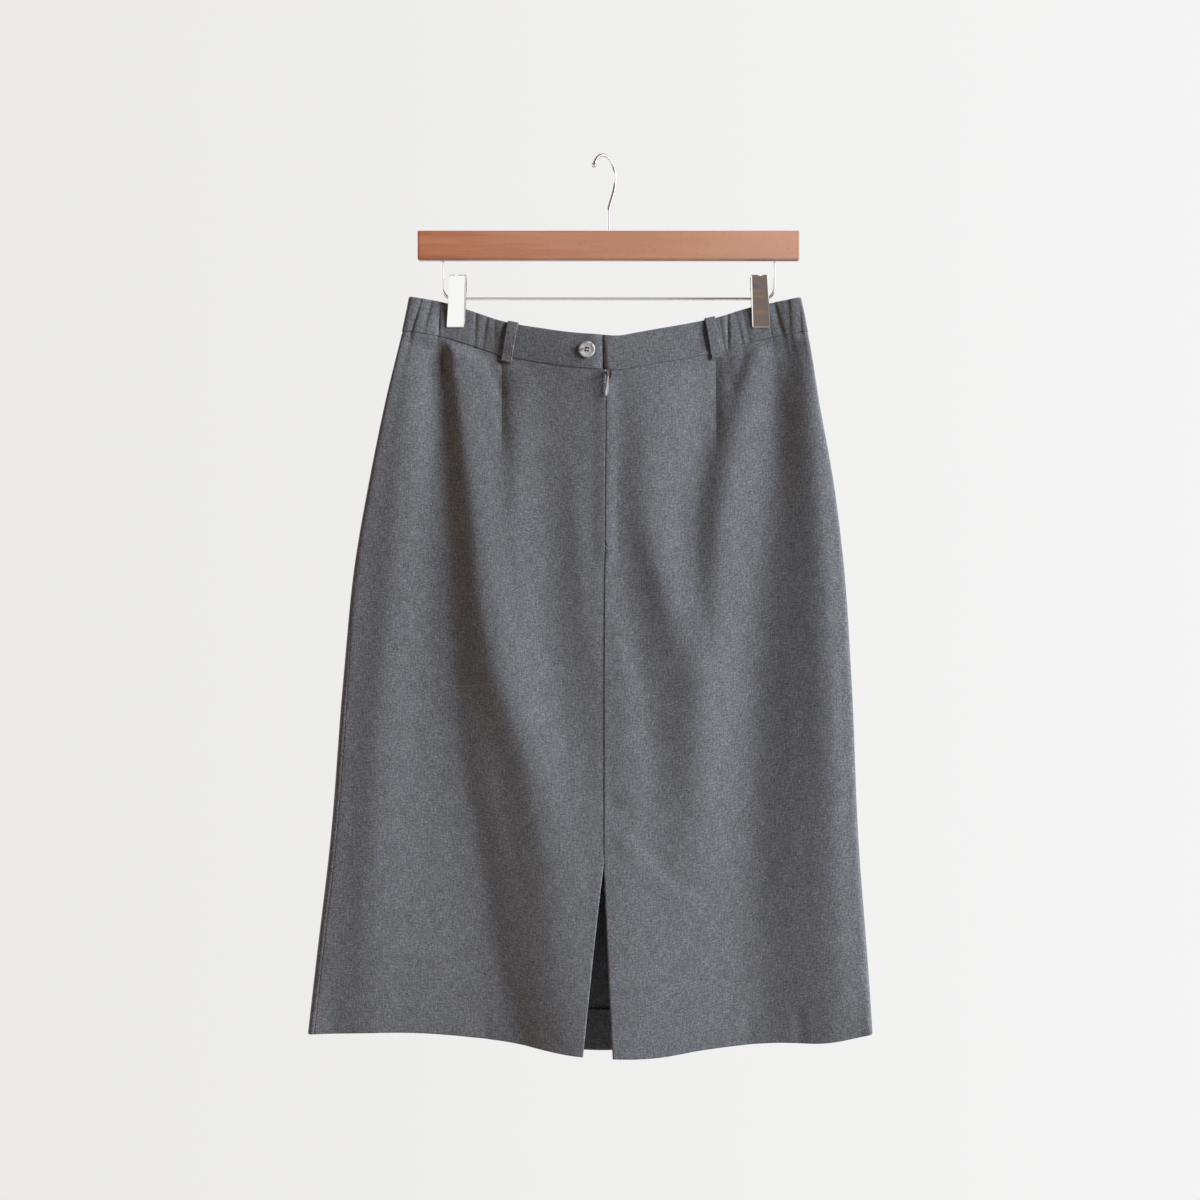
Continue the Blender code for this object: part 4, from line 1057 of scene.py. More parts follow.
thread, thread_tree, thread_shader = new_material("dark grey polyester thread", {
    "Roughness": 0.7, "Specular IOR Level": 0.2})
twist = add_node(thread_tree, "ShaderNodeTexNoise", {
    "Vector": add_node(thread_tree, "ShaderNodeTexCoord").outputs["Object"],
    "Scale": 900.0, "Detail": 2.0}).outputs["Fac"]
ply = add_node(thread_tree, "ShaderNodeMix", {0: twist, 6: colour("2A292B"), 7: colour("454447")},
               data_type="RGBA").outputs[2]
thread_tree.links.new(ply, thread_shader.inputs["Base Color"])


def geometry_tree(name, start, sizes, result):
    """A new Geometry Nodes tree, the identifiers of its size inputs, and its inputs' outlets."""
    tree = bpy.data.node_groups.new(name, "GeometryNodeTree")
    tree.is_modifier = True
    tree.interface.new_socket(start, in_out="INPUT", socket_type="NodeSocketGeometry")
    sockets = []
    for size in sizes:
        made = tree.interface.new_socket(size, in_out="INPUT", socket_type="NodeSocketFloat")
        sockets.append(made.identifier)
    tree.interface.new_socket(result, in_out="OUTPUT", socket_type="NodeSocketGeometry")
    return tree, sockets, add_node(tree, "NodeGroupInput").outputs


sewing, sewing_sockets, given = geometry_tree(
    "row of stitches", "Line", ("Stitch Step", "Stitch Length", "Thread"), "Stitches")
line = add_node(sewing, "GeometryNodeMeshToCurve", {0: given["Line"]}).outputs[0]
spaced = add_node(sewing, "GeometryNodeResampleCurve", {
    "Curve": line, "Length": given["Stitch Step"]}, mode="LENGTH").outputs[0]
bead = add_node(sewing, "GeometryNodeMeshUVSphere", {
    "Segments": 6, "Rings": 6, "Radius": 0.5}).outputs[0]
stitch_size = add_node(sewing, "ShaderNodeCombineXYZ", {
    0: given["Thread"], 1: given["Thread"], 2: given["Stitch Length"]}).outputs[0]
heading = add_node(sewing, "FunctionNodeAlignRotationToVector", {
    "Vector": add_node(sewing, "GeometryNodeInputTangent").outputs[0]}, axis="Z").outputs[0]
laid = add_node(sewing, "GeometryNodeInstanceOnPoints", {
    "Points": spaced, "Instance": bead, "Rotation": heading, "Scale": stitch_size}).outputs[0]
real = add_node(sewing, "GeometryNodeRealizeInstances", {0: laid}).outputs[0]
dressed = add_node(sewing, "GeometryNodeSetMaterial", {0: real, "Material": thread}).outputs[0]
add_node(sewing, "NodeGroupOutput", {0: dressed})


def made_by_nodes(name, mesh, tree, sockets, sizes):
    """Runs a node tree with these sizes over a mesh, and gives back the plain mesh it makes."""
    carrier = bpy.data.objects.new(name, mesh)
    bpy.context.collection.objects.link(carrier)
    modifier = carrier.modifiers.new(tree.name, "NODES")
    modifier.node_group = tree
    for socket, size in zip(sockets, sizes):
        modifier[socket] = size
    ready = carrier.evaluated_get(bpy.context.evaluated_depsgraph_get())
    made = bpy.data.meshes.new_from_object(ready)
    bpy.data.objects.remove(carrier, do_unlink=True)
    return made


def stitches(name, lines, step=STITCH_STEP, long=STITCH_LONG, thick=THREAD):
    """Rows of stitches along lines, each an array of points."""
    points, edges = [], []
    for row in lines:
        edges += [(len(points) + i, len(points) + i + 1) for i in range(len(row) - 1)]
        points += np.asarray(row).tolist()
    mesh = bpy.data.meshes.new(name)
    mesh.from_pydata(points, edges, [])
    sewn = made_by_nodes(name, mesh, sewing, sewing_sockets, (step, long, thick))
    add_piece(name, sewn, thread, "skirt")


def on_tube(across, drop, lift, front=False):
    """Points on the garment, by distance across and distance below the band's top."""
    across, drop, lift = np.broadcast_arrays(np.asarray(across, float), np.asarray(drop, float),
                                             np.asarray(lift, float))
    levels = band_level(drop)
    turns = turn_at(across, levels, front)
    return tube(turns, levels) + outward(turns, levels) * lift[..., None] + np.array(STEM)


# Each belt loop is stitched along both edges, and across its foot.
STITCH_SUNK = 0.0003
FOOT_STITCH = 0.0014
loop_lines = []
down = loop_drops[:-2]
proud = loop_lift[:-2] + LOOP_WALL / 2 - STITCH_SUNK
from_middle = LOOP_WIDTH / 2 - EDGE_STITCH
foot = np.linspace(-0.38, 0.38, 8) * LOOP_WIDTH
foot_drop = BAND_HEIGHT + LOOP_FOOT - FOOT_STITCH
for right in (False, True):
    middle = loop_place(right, 1 - down / BAND_HEIGHT)
    for front_side in (False, True):
        loop_lines.append(on_tube(middle - from_middle, down, proud, front_side))
        loop_lines.append(on_tube(middle + from_middle, down, proud, front_side))
        loop_lines.append(on_tube(middle[-1] + foot, foot_drop, proud[-1], front_side))
stitches("belt_loop_stitches", loop_lines)

# ---------------------------------------------------------------- button
# A four-hole button of marbled grey polyester with a raised rim, sewn on with dark thread. It
# shows through the lap's buttonhole, whose stitched end reaches out to its left.
BUTTON_ACROSS = -0.0203
BUTTON_BELOW = 0.1822
BUTTON_LEVEL = -0.4
BUTTON_TURNED = math.radians(-12)
HOLE_RADIUS = 0.0008
HOLE_OUT = 0.0019
BUTTON_PROFILE = [
    # from the axis, from the cloth
    (0.0, 0.0017), (0.0030, 0.0017), (0.0042, 0.00175), (0.0050, 0.0019), (0.0058, 0.0021),
    (0.0066, 0.00212), (0.0072, 0.0019), (0.0076, 0.0015), (0.0078, 0.0010), (0.0077, 0.0006),
    (0.0074, 0.0003), (0.0069, 0.0001), (0.0062, 0.0), (0.0, 0.0),
]


def frozen(piece):
    """A piece's mesh with its modifiers in it."""
    ready = piece.evaluated_get(bpy.context.evaluated_depsgraph_get())
    return bpy.data.meshes.new_from_object(ready)


def turned(profile, steps, place=Matrix()):
    """A closed solid turned about Z from a profile of (radius, height), ends on the axis."""
    shell = bmesh.new()
    ring = [shell.verts.new((r, 0.0, z)) for r, z in profile]
    edges = [shell.edges.new(pair) for pair in zip(ring, ring[1:])]
    bmesh.ops.spin(shell, geom=ring + edges, cent=(0, 0, 0), axis=(0, 0, 1), angle=2 * math.pi,
                   steps=steps, use_merge=True)
    bmesh.ops.remove_doubles(shell, verts=shell.verts[:], dist=1e-6)
    bmesh.ops.recalc_face_normals(shell, faces=shell.faces[:])
    bmesh.ops.transform(shell, matrix=place, verts=shell.verts[:])
    return shell


def as_mesh(name, shell):
    """A bmesh's mesh. The bmesh is used up."""
    mesh = bpy.data.meshes.new(name)
    shell.to_mesh(mesh)
    shell.free()
    return mesh


def cut_away(mesh, cutters):
    """The mesh with each closed cutter taken out of it."""
    body = bpy.data.objects.new(mesh.name, mesh)
    bpy.context.collection.objects.link(body)
    tools = []
    for i, tool_mesh in enumerate(cutters):
        tool = bpy.data.objects.new(f"{mesh.name}_tool_{i}", tool_mesh)
        bpy.context.collection.objects.link(tool)
        tool.hide_render = True
        step = body.modifiers.new(tool.name, "BOOLEAN")
        step.operation, step.solver, step.object = "DIFFERENCE", "EXACT", tool
        tools.append(tool)
    made = frozen(body)
    for used in (*tools, body):
        bpy.data.objects.remove(used, do_unlink=True)
    return made


button_turn = float(turn_at(BUTTON_ACROSS, BUTTON_LEVEL))
seat = Vector(tube(button_turn, BUTTON_LEVEL))
seat.z = -BUTTON_BELOW
facing = Vector(outward(button_turn, BUTTON_LEVEL))
seat = STEM + seat + facing * (float(band_lap(BUTTON_ACROSS)) + GAP)
button_place = (Matrix.Translation(seat) @ facing.to_track_quat("Z", "Y").to_matrix().to_4x4()
                @ Matrix.Rotation(BUTTON_TURNED, 4, "Z"))
hole_angles = [math.radians(45 + 90 * i) for i in range(4)]
hole_spots = [Vector((HOLE_OUT * math.cos(a), HOLE_OUT * math.sin(a), 0)) for a in hole_angles]
drill = [(0.0, -0.002), (HOLE_RADIUS, -0.002), (HOLE_RADIUS, 0.0014),
         (HOLE_RADIUS * 1.5, 0.0020), (0.0, 0.0020)]
holes = [as_mesh("hole", turned(drill, 16, button_place @ Matrix.Translation(spot)))
         for spot in hole_spots]
button_mesh = cut_away(as_mesh("button_body", turned(BUTTON_PROFILE, 72, button_place)), holes)

# Marbled polyester: cloudy pearl grey with darker smoke in it, moulded and tumbled to a gloss.
pearl, pearl_tree, pearl_shader = new_material("marbled grey polyester", {
    "Roughness": 0.34, "Coat Weight": 0.15, "Coat Roughness": 0.15,
    "Subsurface Weight": 0.1, "Subsurface Scale": 0.002})
smoke = add_node(pearl_tree, "ShaderNodeTexNoise", {
    "Vector": add_node(pearl_tree, "ShaderNodeTexCoord").outputs["Object"],
    "Scale": 110.0, "Detail": 2.0, "Distortion": 1.2}).outputs["Fac"]
marble = add_node(pearl_tree, "ShaderNodeValToRGB", {0: smoke})
set_stops(marble, (0.36, "5F5C58"), (0.60, "BAB7B1"), (0.48, "9C9892"))
pearl_tree.links.new(marble.outputs[0], pearl_shader.inputs["Base Color"])
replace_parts(add_piece("button_body", button_mesh, pearl, "skirt"), "button")

# Two double strands over the button, each from one hole to the next.
STRAND_APART = 0.00022
STRAND_LOW = 0.0007
STRAND_ARCH = 0.00130
holding = []
for first, last in ((0, 1), (3, 2)):
    for off in (-STRAND_APART, STRAND_APART):
        strand = []
        for share in np.linspace(0, 1, 9):
            lift = STRAND_LOW + STRAND_ARCH * math.sin(math.pi * share) ** 0.5
            spot = hole_spots[first].lerp(hole_spots[last], share)
            strand.append(button_place @ (spot + Vector((0, off, lift))))
        holding.append(strand)
stitches("button_thread", holding, step=0.0004, long=0.0007, thick=0.0005)

# The buttonhole: close stitches along both sides of its slit, and a fan of them at its end.
HOLE_HALF_LONG = 0.0095
SIDE_REACH = np.array([0.0002, 0.0016])
FAN_REACH = np.array([0.0003, 0.0018])
hole_middle = BUTTON_ACROSS - 0.0042
hole_drop = BUTTON_BELOW - float(waist_below(BUTTON_ACROSS)) + 0.0006
face_lift = float(band_lap(BUTTON_ACROSS)) + 0.0001
buttonhole = []
for side in (-1, 1):
    for share in np.linspace(-1, 1, 30):
        at = hole_middle + HOLE_HALF_LONG * share
        buttonhole.append(on_tube([at, at], hole_drop + side * SIDE_REACH, face_lift))
for angle in np.linspace(math.radians(110), math.radians(250), 9):
    buttonhole.append(on_tube(hole_middle - HOLE_HALF_LONG + FAN_REACH * math.cos(angle),
                              hole_drop + FAN_REACH * math.sin(angle), face_lift))
stitches("buttonhole_stitches", buttonhole, step=0.0007, long=0.0010, thick=0.0003)

# ---------------------------------------------------------------- zip
# A dark nylon coil zip on woven tape. It is shut, so its nickel slider sits at the top, on the
# lap's edge, and the drop-shaped pull tab hangs from it.
TAPE_WIDE = 0.022
TAPE_WALL = 0.0008
TAPE_LIFT = -0.0024 - GAP
SLIDER_TOP_BELOW = 0.2012

nylon, nylon_tree, nylon_shader = new_material("dark woven polyester tape", {
    "Roughness": 0.75, "Sheen Weight": 0.15})
herringbone = add_node(nylon_tree, "ShaderNodeTexWave", {
    "Vector": add_node(nylon_tree, "ShaderNodeUVMap", uv_map="cut").outputs["UV"],
    "Scale": WAVE_LONG / 0.0010, "Distortion": 0.6}, bands_direction="DIAGONAL").outputs["Fac"]
tape_tone = add_node(nylon_tree, "ShaderNodeMix", {
    0: herringbone, 6: colour("262426"), 7: colour("39363A")}, data_type="RGBA").outputs[2]
nylon_tree.links.new(tape_tone, nylon_shader.inputs["Base Color"])
tape_levels = np.linspace(0.004, 0.285, 60)[:, None]
tape_middle = seam_across(-tube(0.0, tape_levels)[..., 2])
tape_turns = turn_at(tape_middle + np.linspace(-0.5, 0.5, 13)[None, :] * TAPE_WIDE, tape_levels)
tape = cloth("zip_tape_woven", tape_turns, tape_levels, TAPE_LIFT - TAPE_WALL / 2, TAPE_WALL,
             nylon)
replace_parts(tape, "zip_tape")


def wire(name, points, radius, sizes=None, sides=14):
    """A bent wire of round section with closed ends, as a mesh."""
    curve = bpy.data.curves.new(name, "CURVE")
    curve.dimensions = "3D"
    curve.bevel_depth = radius
    curve.bevel_resolution = sides // 2 - 2
    curve.use_fill_caps = True
    spline = curve.splines.new("POLY")
    spline.points.add(len(points) - 1)
    for i, point in enumerate(points):
        spline.points[i].co = (*point, 1.0)
        spline.points[i].radius = sizes[i] if sizes else 1.0
    bent = bpy.data.objects.new(name, curve)
    bpy.context.collection.objects.link(bent)
    mesh = frozen(bent)
    bpy.data.objects.remove(bent, do_unlink=True)
    return mesh


# The coil: one stiff nylon thread, wound in loops along the tape's inner side.
COIL_HALF_WIDE = 0.0016
COIL_HALF_DEEP = 0.0007
COIL_PITCH = 0.0013
COIL_THREAD = 0.00035
coil_drops = np.linspace(SLIDER_TOP_BELOW + 0.001, ZIP_END_BELOW + 0.002, 1640)
coil_levels = np.interp(coil_drops, -tube(0.0, tape_levels)[:, 0, 2], tape_levels[:, 0])
coil_angles = 2 * math.pi * (coil_drops - coil_drops[0]) / COIL_PITCH
coil_turns = turn_at(seam_across(coil_drops) + COIL_HALF_WIDE * np.cos(coil_angles), coil_levels)
coil_lifts = TAPE_LIFT - TAPE_WALL - COIL_THREAD - COIL_HALF_DEEP * (1 + np.sin(coil_angles))
coil_path = tube(coil_turns, coil_levels) + outward(coil_turns, coil_levels) * coil_lifts[:, None]
coil_nylon, _, _ = new_material("dark nylon coil", {
    "Base Color": colour("2B2A2D"), "Roughness": 0.45})
add_piece("zip_coil", wire("zip_coil", coil_path + np.array(STEM), COIL_THREAD, sides=6),
          coil_nylon, "skirt")


def nickel_plate(name, roughness, dark, light):
    """Satin nickel plate on die-cast zinc, mottled by wear. Also gives its tree and the wear."""
    plate, tree, shader = new_material(name, {"Metallic": 1.0, "Roughness": roughness})
    wear = add_node(tree, "ShaderNodeTexNoise", {
        "Vector": add_node(tree, "ShaderNodeTexCoord").outputs["Object"],
        "Scale": 700.0, "Detail": 3.0}).outputs["Fac"]
    tone = add_node(tree, "ShaderNodeMix", {
        0: wear, 6: colour(dark), 7: colour(light)}, data_type="RGBA").outputs[2]
    tree.links.new(tone, shader.inputs["Base Color"])
    return plate, tree, shader, wear


# The pull tab is still satin, a little worn to bright. The slider's plate is painted dark, as
# painted shade for the shadow that the band's lower edge casts over it.
nickel, nickel_tree, nickel_shader, wear = nickel_plate(
    "satin nickel plate", 0.28, "ADACAA", "DEDDDB")
worn_roughness = add_node(nickel_tree, "ShaderNodeMapRange", {0: wear, 3: 0.26, 4: 0.40}).outputs[0]
nickel_tree.links.new(worn_roughness, nickel_shader.inputs["Roughness"])
nickel_in_painted_shade = nickel_plate("dulled nickel plate", 0.42, "54524F", "96938F")[0]


def outline_plate(outline, back, front, bevel):
    """A flat plate cut to an outline of (x, z) points, its edges softened, facing -Y."""
    shell = bmesh.new()
    low = [shell.verts.new((x, back, z)) for x, z in outline]
    high = [shell.verts.new((x, front, z)) for x, z in outline]
    shell.faces.new(low)
    shell.faces.new(high[::-1])
    for i in range(len(outline)):
        j = (i + 1) % len(outline)
        shell.faces.new((low[i], high[i], high[j], low[j]))
    bmesh.ops.recalc_face_normals(shell, faces=shell.faces[:])
    rims = [e for e in shell.edges if abs(e.verts[0].co.y - e.verts[1].co.y) < 1e-9]
    bmesh.ops.bevel(shell, geom=rims, offset=bevel, segments=3, profile=0.5, affect="EDGES")
    return shell


def join(*shells):
    """One bmesh with all of these loose shells in it."""
    whole = shells[0]
    for shell in shells[1:]:
        part = as_mesh("part", shell)
        whole.from_mesh(part)
        bpy.data.meshes.remove(part)
    return whole


def upright_plate(x, half_wide, low, high, back, front):
    """A small upright plate with slightly softened edges."""
    return outline_plate([(x - half_wide, low), (x + half_wide, low), (x + half_wide, high),
                          (x - half_wide, high)], back, front, 0.0001)


# The slider: a front plate a little smaller than its node, a back plate, the neck between them,
# and a small lug beside the pin, which is drawn to the left of the plates.
PLATE_THICK = 0.0008
SLIDER_OUTLINE = [
    # shares of its half width, and of its height from the top down
    (-0.55, 0.0), (0.55, 0.0), (0.95, 0.10), (1.0, 0.28), (0.86, 0.72),
    (0.62, 1.0), (-0.62, 1.0), (-0.86, 0.72), (-1.0, 0.28), (-0.95, 0.10),
]
PIN = Vector(frame["joints"][0]["pos_m"])
slider_low, slider_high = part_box("zip_slider")
slider_x = (slider_low.x + slider_high.x) / 2
slider_half = (slider_high.x - slider_low.x) / 2 * 0.7
slider_long = (slider_high.z - slider_low.z) * 0.8
front_face = slider_low.y
slider_outline = [(slider_x + slider_half * w, slider_high.z - slider_long * d)
                  for w, d in SLIDER_OUTLINE]
slider_top = outline_plate(slider_outline, front_face + 2 * PLATE_THICK, front_face + PLATE_THICK,
                           0.00025)
slider_back = outline_plate(slider_outline, slider_high.y, slider_high.y - PLATE_THICK, 0.0002)
neck = upright_plate(slider_x, 0.0005, slider_high.z - 0.0010, slider_high.z - 0.0032,
                     slider_high.y - 0.0004, front_face + 0.0012)
lug = upright_plate(0.0, 0.00035, PIN.z - 0.0012, PIN.z + 0.0012,
                    front_face + 0.0010, front_face + 0.0001)
slider_mesh = as_mesh("zip_slider_cast", join(slider_top, slider_back, neck, lug))
# The slider wears the darkened nickel: painted shade for the band's lower edge above it.
slider = add_piece("zip_slider_cast", slider_mesh, nickel_in_painted_shade, "skirt")
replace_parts(slider, "zip_slider")

# The pull tab: a slim drop with a dished panel in its front, that hangs from the pin and leans.
PULL_OUTLINE = [
    # half width, below the pin
    (0.0007, -0.0004), (0.0007, 0.0020), (0.0007, 0.0050), (0.0009, 0.0080), (0.0011, 0.0110),
    (0.0013, 0.0140), (0.0015, 0.0163), (0.0014, 0.0178), (0.0011, 0.0190), (0.0005, 0.0196),
]
PULL_LEAN = -0.085
PULL_HALF_THICK = 0.00045
PANEL_HALF_THICK = 0.00028


def pull_outline(rows, share):
    """The drop's outline, or a share of its width, round through these rows."""
    right = [(PIN.x + PULL_LEAN * d + w * share, PIN.z - d) for w, d in rows]
    left = [(PIN.x + PULL_LEAN * d - w * share, PIN.z - d) for w, d in rows[::-1]]
    return right + left


pull_plate = outline_plate(pull_outline(PULL_OUTLINE, 1.0), PIN.y + PULL_HALF_THICK,
                           PIN.y - PULL_HALF_THICK, 0.00042)
bmesh.ops.recalc_face_normals(pull_plate, faces=pull_plate.faces[:])
panel_tool = outline_plate(pull_outline(PULL_OUTLINE[3:8], 0.5), PIN.y - PANEL_HALF_THICK,
                           PIN.y - 0.002, 0.0)
pull_mesh = cut_away(as_mesh("zip_pull_cast", pull_plate), [as_mesh("pull_panel", panel_tool)])
pull = add_piece("zip_pull_cast", pull_mesh, nickel, "pull_tab")
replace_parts(pull, "zip_pull")

# ---------------------------------------------------------------- hanger bar
# A straight bar of reddish hardwood, its edges rounded over, stained and sprayed with satin
# varnish. The hook screws into its top and the rail's two ends are let into its underside.
BAR_EDGE = 0.0015
SOCKET_DEEP = 0.010
SOCKET_PAST = 0.003
SOCKET_ROOM = 0.0003
STEM_SOCKET_RADIUS = 0.0019
bar_shell = bmesh.new()
bmesh.ops.create_cube(bar_shell, size=1.0, matrix=Matrix.Translation(bar_middle)
                      @ Matrix.Diagonal((*(bar_high - bar_low), 1.0)))
bmesh.ops.bevel(bar_shell, geom=bar_shell.edges[:], offset=BAR_EDGE, segments=5, profile=0.5,
                affect="EDGES")
rail_low, rail_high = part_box("hanger_rail")
RAIL_RADIUS = (rail_high.y - rail_low.y) / 2


def socket_drill(name, x, radius, low, high):
    """A drill as wide as a wire's socket, between two heights."""
    profile = [(0.0, low), (radius, low), (radius, high), (0.0, high)]
    return as_mesh(name, turned(profile, 24, Matrix.Translation((x, STEM.y, 0))))


sockets = [socket_drill("stem", STEM.x, STEM_SOCKET_RADIUS, bar_high.z - SOCKET_DEEP,
                        bar_high.z + SOCKET_PAST)]
for name, x in (("rail_left", rail_low.x + RAIL_RADIUS), ("rail_right", rail_high.x - RAIL_RADIUS)):
    sockets.append(socket_drill(name, x, RAIL_RADIUS + SOCKET_ROOM, bar_low.z - SOCKET_PAST,
                                bar_low.z + SOCKET_DEEP))
bar_mesh = cut_away(as_mesh("hanger_bar_wood", bar_shell), sockets)

# Stained hardwood: grain and short dark pores run the bar's length, with the stain darker at its
# ends. Painted shade darkens its rounded top and bottom edges. Towards its right end it is paler
# and pinker, partly because the stain fades and partly as a painted sheen from the window. A satin
# varnish lies over it.
wood, wood_tree, wood_shader = new_material("stained hardwood under satin varnish", {
    "Roughness": 0.45, "Coat Weight": 0.3, "Coat Roughness": 0.3})
wood_spot = add_node(wood_tree, "ShaderNodeTexCoord").outputs["Object"]
wood_axes = add_node(wood_tree, "ShaderNodeSeparateXYZ", {0: wood_spot}).outputs


def grain(long, wide, detail, low, high, distortion=0.0):
    """Noise drawn out along the bar: its features' length and width, in metres."""
    drawn = add_node(wood_tree, "ShaderNodeMapping", {
        0: wood_spot, "Scale": (1 / long, 1 / wide, 1 / wide)}).outputs[0]
    noise = add_node(wood_tree, "ShaderNodeTexNoise", {
        "Vector": drawn, "Scale": 1.0, "Detail": detail, "Distortion": distortion}).outputs["Fac"]
    return add_node(wood_tree, "ShaderNodeMapRange", {0: noise, 1: low, 2: high}).outputs[0]


def towards_rim(axis, start, end, strength):
    """How much darker the bar grows towards its rims, between two distances from its middle on one
    axis.
    """
    off = add_node(wood_tree, "ShaderNodeMath", {
        0: wood_axes[axis.upper()], 1: getattr(bar_middle, axis)}, operation="SUBTRACT").outputs[0]
    off = add_node(wood_tree, "ShaderNodeMath", {0: off}, operation="ABSOLUTE").outputs[0]
    return add_node(wood_tree, "ShaderNodeMapRange", {
        0: off, 1: start, 2: end, 4: strength}).outputs[0]


broad = grain(0.110, 0.0075, 2.0, 0.32, 0.68, 0.3)
fine = grain(0.030, 0.0011, 3.0, 0.30, 0.70)
pores = grain(0.0050, 0.0006, 1.0, 0.64, 0.80)
banded = add_node(wood_tree, "ShaderNodeMix", {0: 0.30, 2: broad, 3: fine}).outputs[0]
stain = add_node(wood_tree, "ShaderNodeValToRGB", {0: banded})
set_stops(stain, (0.15, "A55F38"), (0.85, "BB7B57"))
# Towards the right end the colour turns paler and pinker: partly a fading of the stain, partly a
# painted sheen from the window on the right.
along_bar = add_node(wood_tree, "ShaderNodeMapRange", {
    0: wood_axes["X"], 1: bar_low.x, 2: bar_high.x}).outputs[0]
faded_stain_and_painted_sheen = add_node(wood_tree, "ShaderNodeMix", {
    0: along_bar, 6: stain.outputs[0], 7: colour("BD8B72")}, data_type="RGBA").outputs[2]
pored = add_node(wood_tree, "ShaderNodeMix", {
    0: pores, 6: faded_stain_and_painted_sheen, 7: colour("9A5B42")}, data_type="RGBA").outputs[2]
# Painted shade along the rounded top and bottom edges, and darker stain at the two ends.
rim_shade = towards_rim("z", 0.0118, 0.0137, 0.15)
end_grain = towards_rim("x", 0.1775, 0.1795, 0.35)
rim_shade_and_end_stain = add_node(wood_tree, "ShaderNodeMath", {
    0: rim_shade, 1: end_grain}, operation="MAXIMUM").outputs[0]
shaded = add_node(wood_tree, "ShaderNodeMix", {
    0: rim_shade_and_end_stain, 6: pored, 7: colour("6B2A1B")}, data_type="RGBA").outputs[2]
wood_tree.links.new(shaded, wood_shader.inputs["Base Color"])
wood_relief = add_node(wood_tree, "ShaderNodeMix", {0: 0.5, 2: fine, 3: pores}).outputs[0]
wood_bump = add_node(wood_tree, "ShaderNodeBump", {
    "Strength": 0.25, "Distance": 0.0001, "Height": wood_relief}).outputs[0]
wood_tree.links.new(wood_bump, wood_shader.inputs["Normal"])
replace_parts(add_piece("hanger_bar_wood", bar_mesh, wood, "skirt", sharp=30), "hanger_bar")

# ---------------------------------------------------------------- hook and rail
# Both are bent from hard steel wire and chromed. The hook ends in a ball, and turns in the bar.
# The rail is one wire, let into the bar at both ends, that the clips slide along.
HOOK_RADIUS = 0.0014
CROOK_RADIUS = 0.0185
CROOK_SET = 0.0075
CROOK_BELOW = CROOK_RADIUS - 0.0015
HOOK_TURN = math.radians(56)
HOOK_TIP = math.radians(154)
HOOK_BALL = 0.0023
RAIL_BEND = 0.010

# Chrome plate: nearly a mirror, with a trace of polish haze.
chrome, chrome_tree, chrome_shader = new_material("chrome plate", {
    "Base Color": colour("DAD9D8"), "Metallic": 1.0})
haze = add_node(chrome_tree, "ShaderNodeTexNoise", {
    "Vector": add_node(chrome_tree, "ShaderNodeTexCoord").outputs["Object"],
    "Scale": 160.0, "Detail": 2.0}).outputs["Fac"]
polish = add_node(chrome_tree, "ShaderNodeMapRange", {
    0: haze, 1: 0.3, 2: 0.7, 3: 0.03, 4: 0.07}).outputs[0]
chrome_tree.links.new(polish, chrome_shader.inputs["Roughness"])

# The hook's line, by its distance along the crook and its height: round the crook from its tip,
# then in a sweep back to the stem, and down into the bar.
along_crook = Vector((math.cos(HOOK_TURN), math.sin(HOOK_TURN), 0))
hook_line = [(CROOK_RADIUS * math.cos(a) - CROOK_SET, CROOK_RADIUS * math.sin(a) - CROOK_BELOW)
             for a in np.linspace(HOOK_TIP, 0, 60)]
side_out = CROOK_RADIUS - CROOK_SET
sweep = np.array([(side_out, -CROOK_BELOW), (side_out + 0.0008, -0.0340), (-0.0008, -0.0430),
                  (0.0, -0.0520)])
for t in np.linspace(0, 1, 30)[1:]:
    weights = np.array([(1 - t) ** 3, 3 * t * (1 - t) ** 2, 3 * t * t * (1 - t), t ** 3])
    hook_line.append(tuple(weights @ sweep))
hook_line.append((0.0, bar_high.z - 0.009))
route = [STEM + along_crook * p + Vector((0, 0, z)) for p, z in hook_line]
to_ball = (route[0] - route[1]).normalized()
ball = [(math.cos(a), math.sin(a)) for a in np.linspace(0.06, 2.55, 14)]
ball_points = [route[0] + to_ball * HOOK_BALL * (0.78 + d) for d, _ in ball]
hook_mesh = wire("hanger_hook_wire", ball_points + route, HOOK_RADIUS,
                 [HOOK_BALL * s / HOOK_RADIUS for _, s in ball] + [1.0] * len(route))
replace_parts(add_piece("hanger_hook_wire", hook_mesh, chrome, "skirt"), "hanger_hook")

rail_half = (rail_high.x - rail_low.x) / 2 - RAIL_RADIUS
rail_z = rail_low.z + RAIL_RADIUS
bend_x, bend_z = rail_half - RAIL_BEND, rail_z + RAIL_BEND
half_rail = [(rail_half, bar_low.z + 0.009)]
half_rail += [(bend_x + RAIL_BEND * math.cos(a), bend_z + RAIL_BEND * math.sin(a))
              for a in np.linspace(0, -math.pi / 2, 20)]
rail_route = half_rail + [(-x, z) for x, z in reversed(half_rail)]
rail_mesh = wire("hanger_rail_wire", [STEM + Vector((x, 0, z)) for x, z in rail_route], RAIL_RADIUS)
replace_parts(add_piece("hanger_rail_wire", rail_mesh, chrome, "skirt"), "hanger_rail")

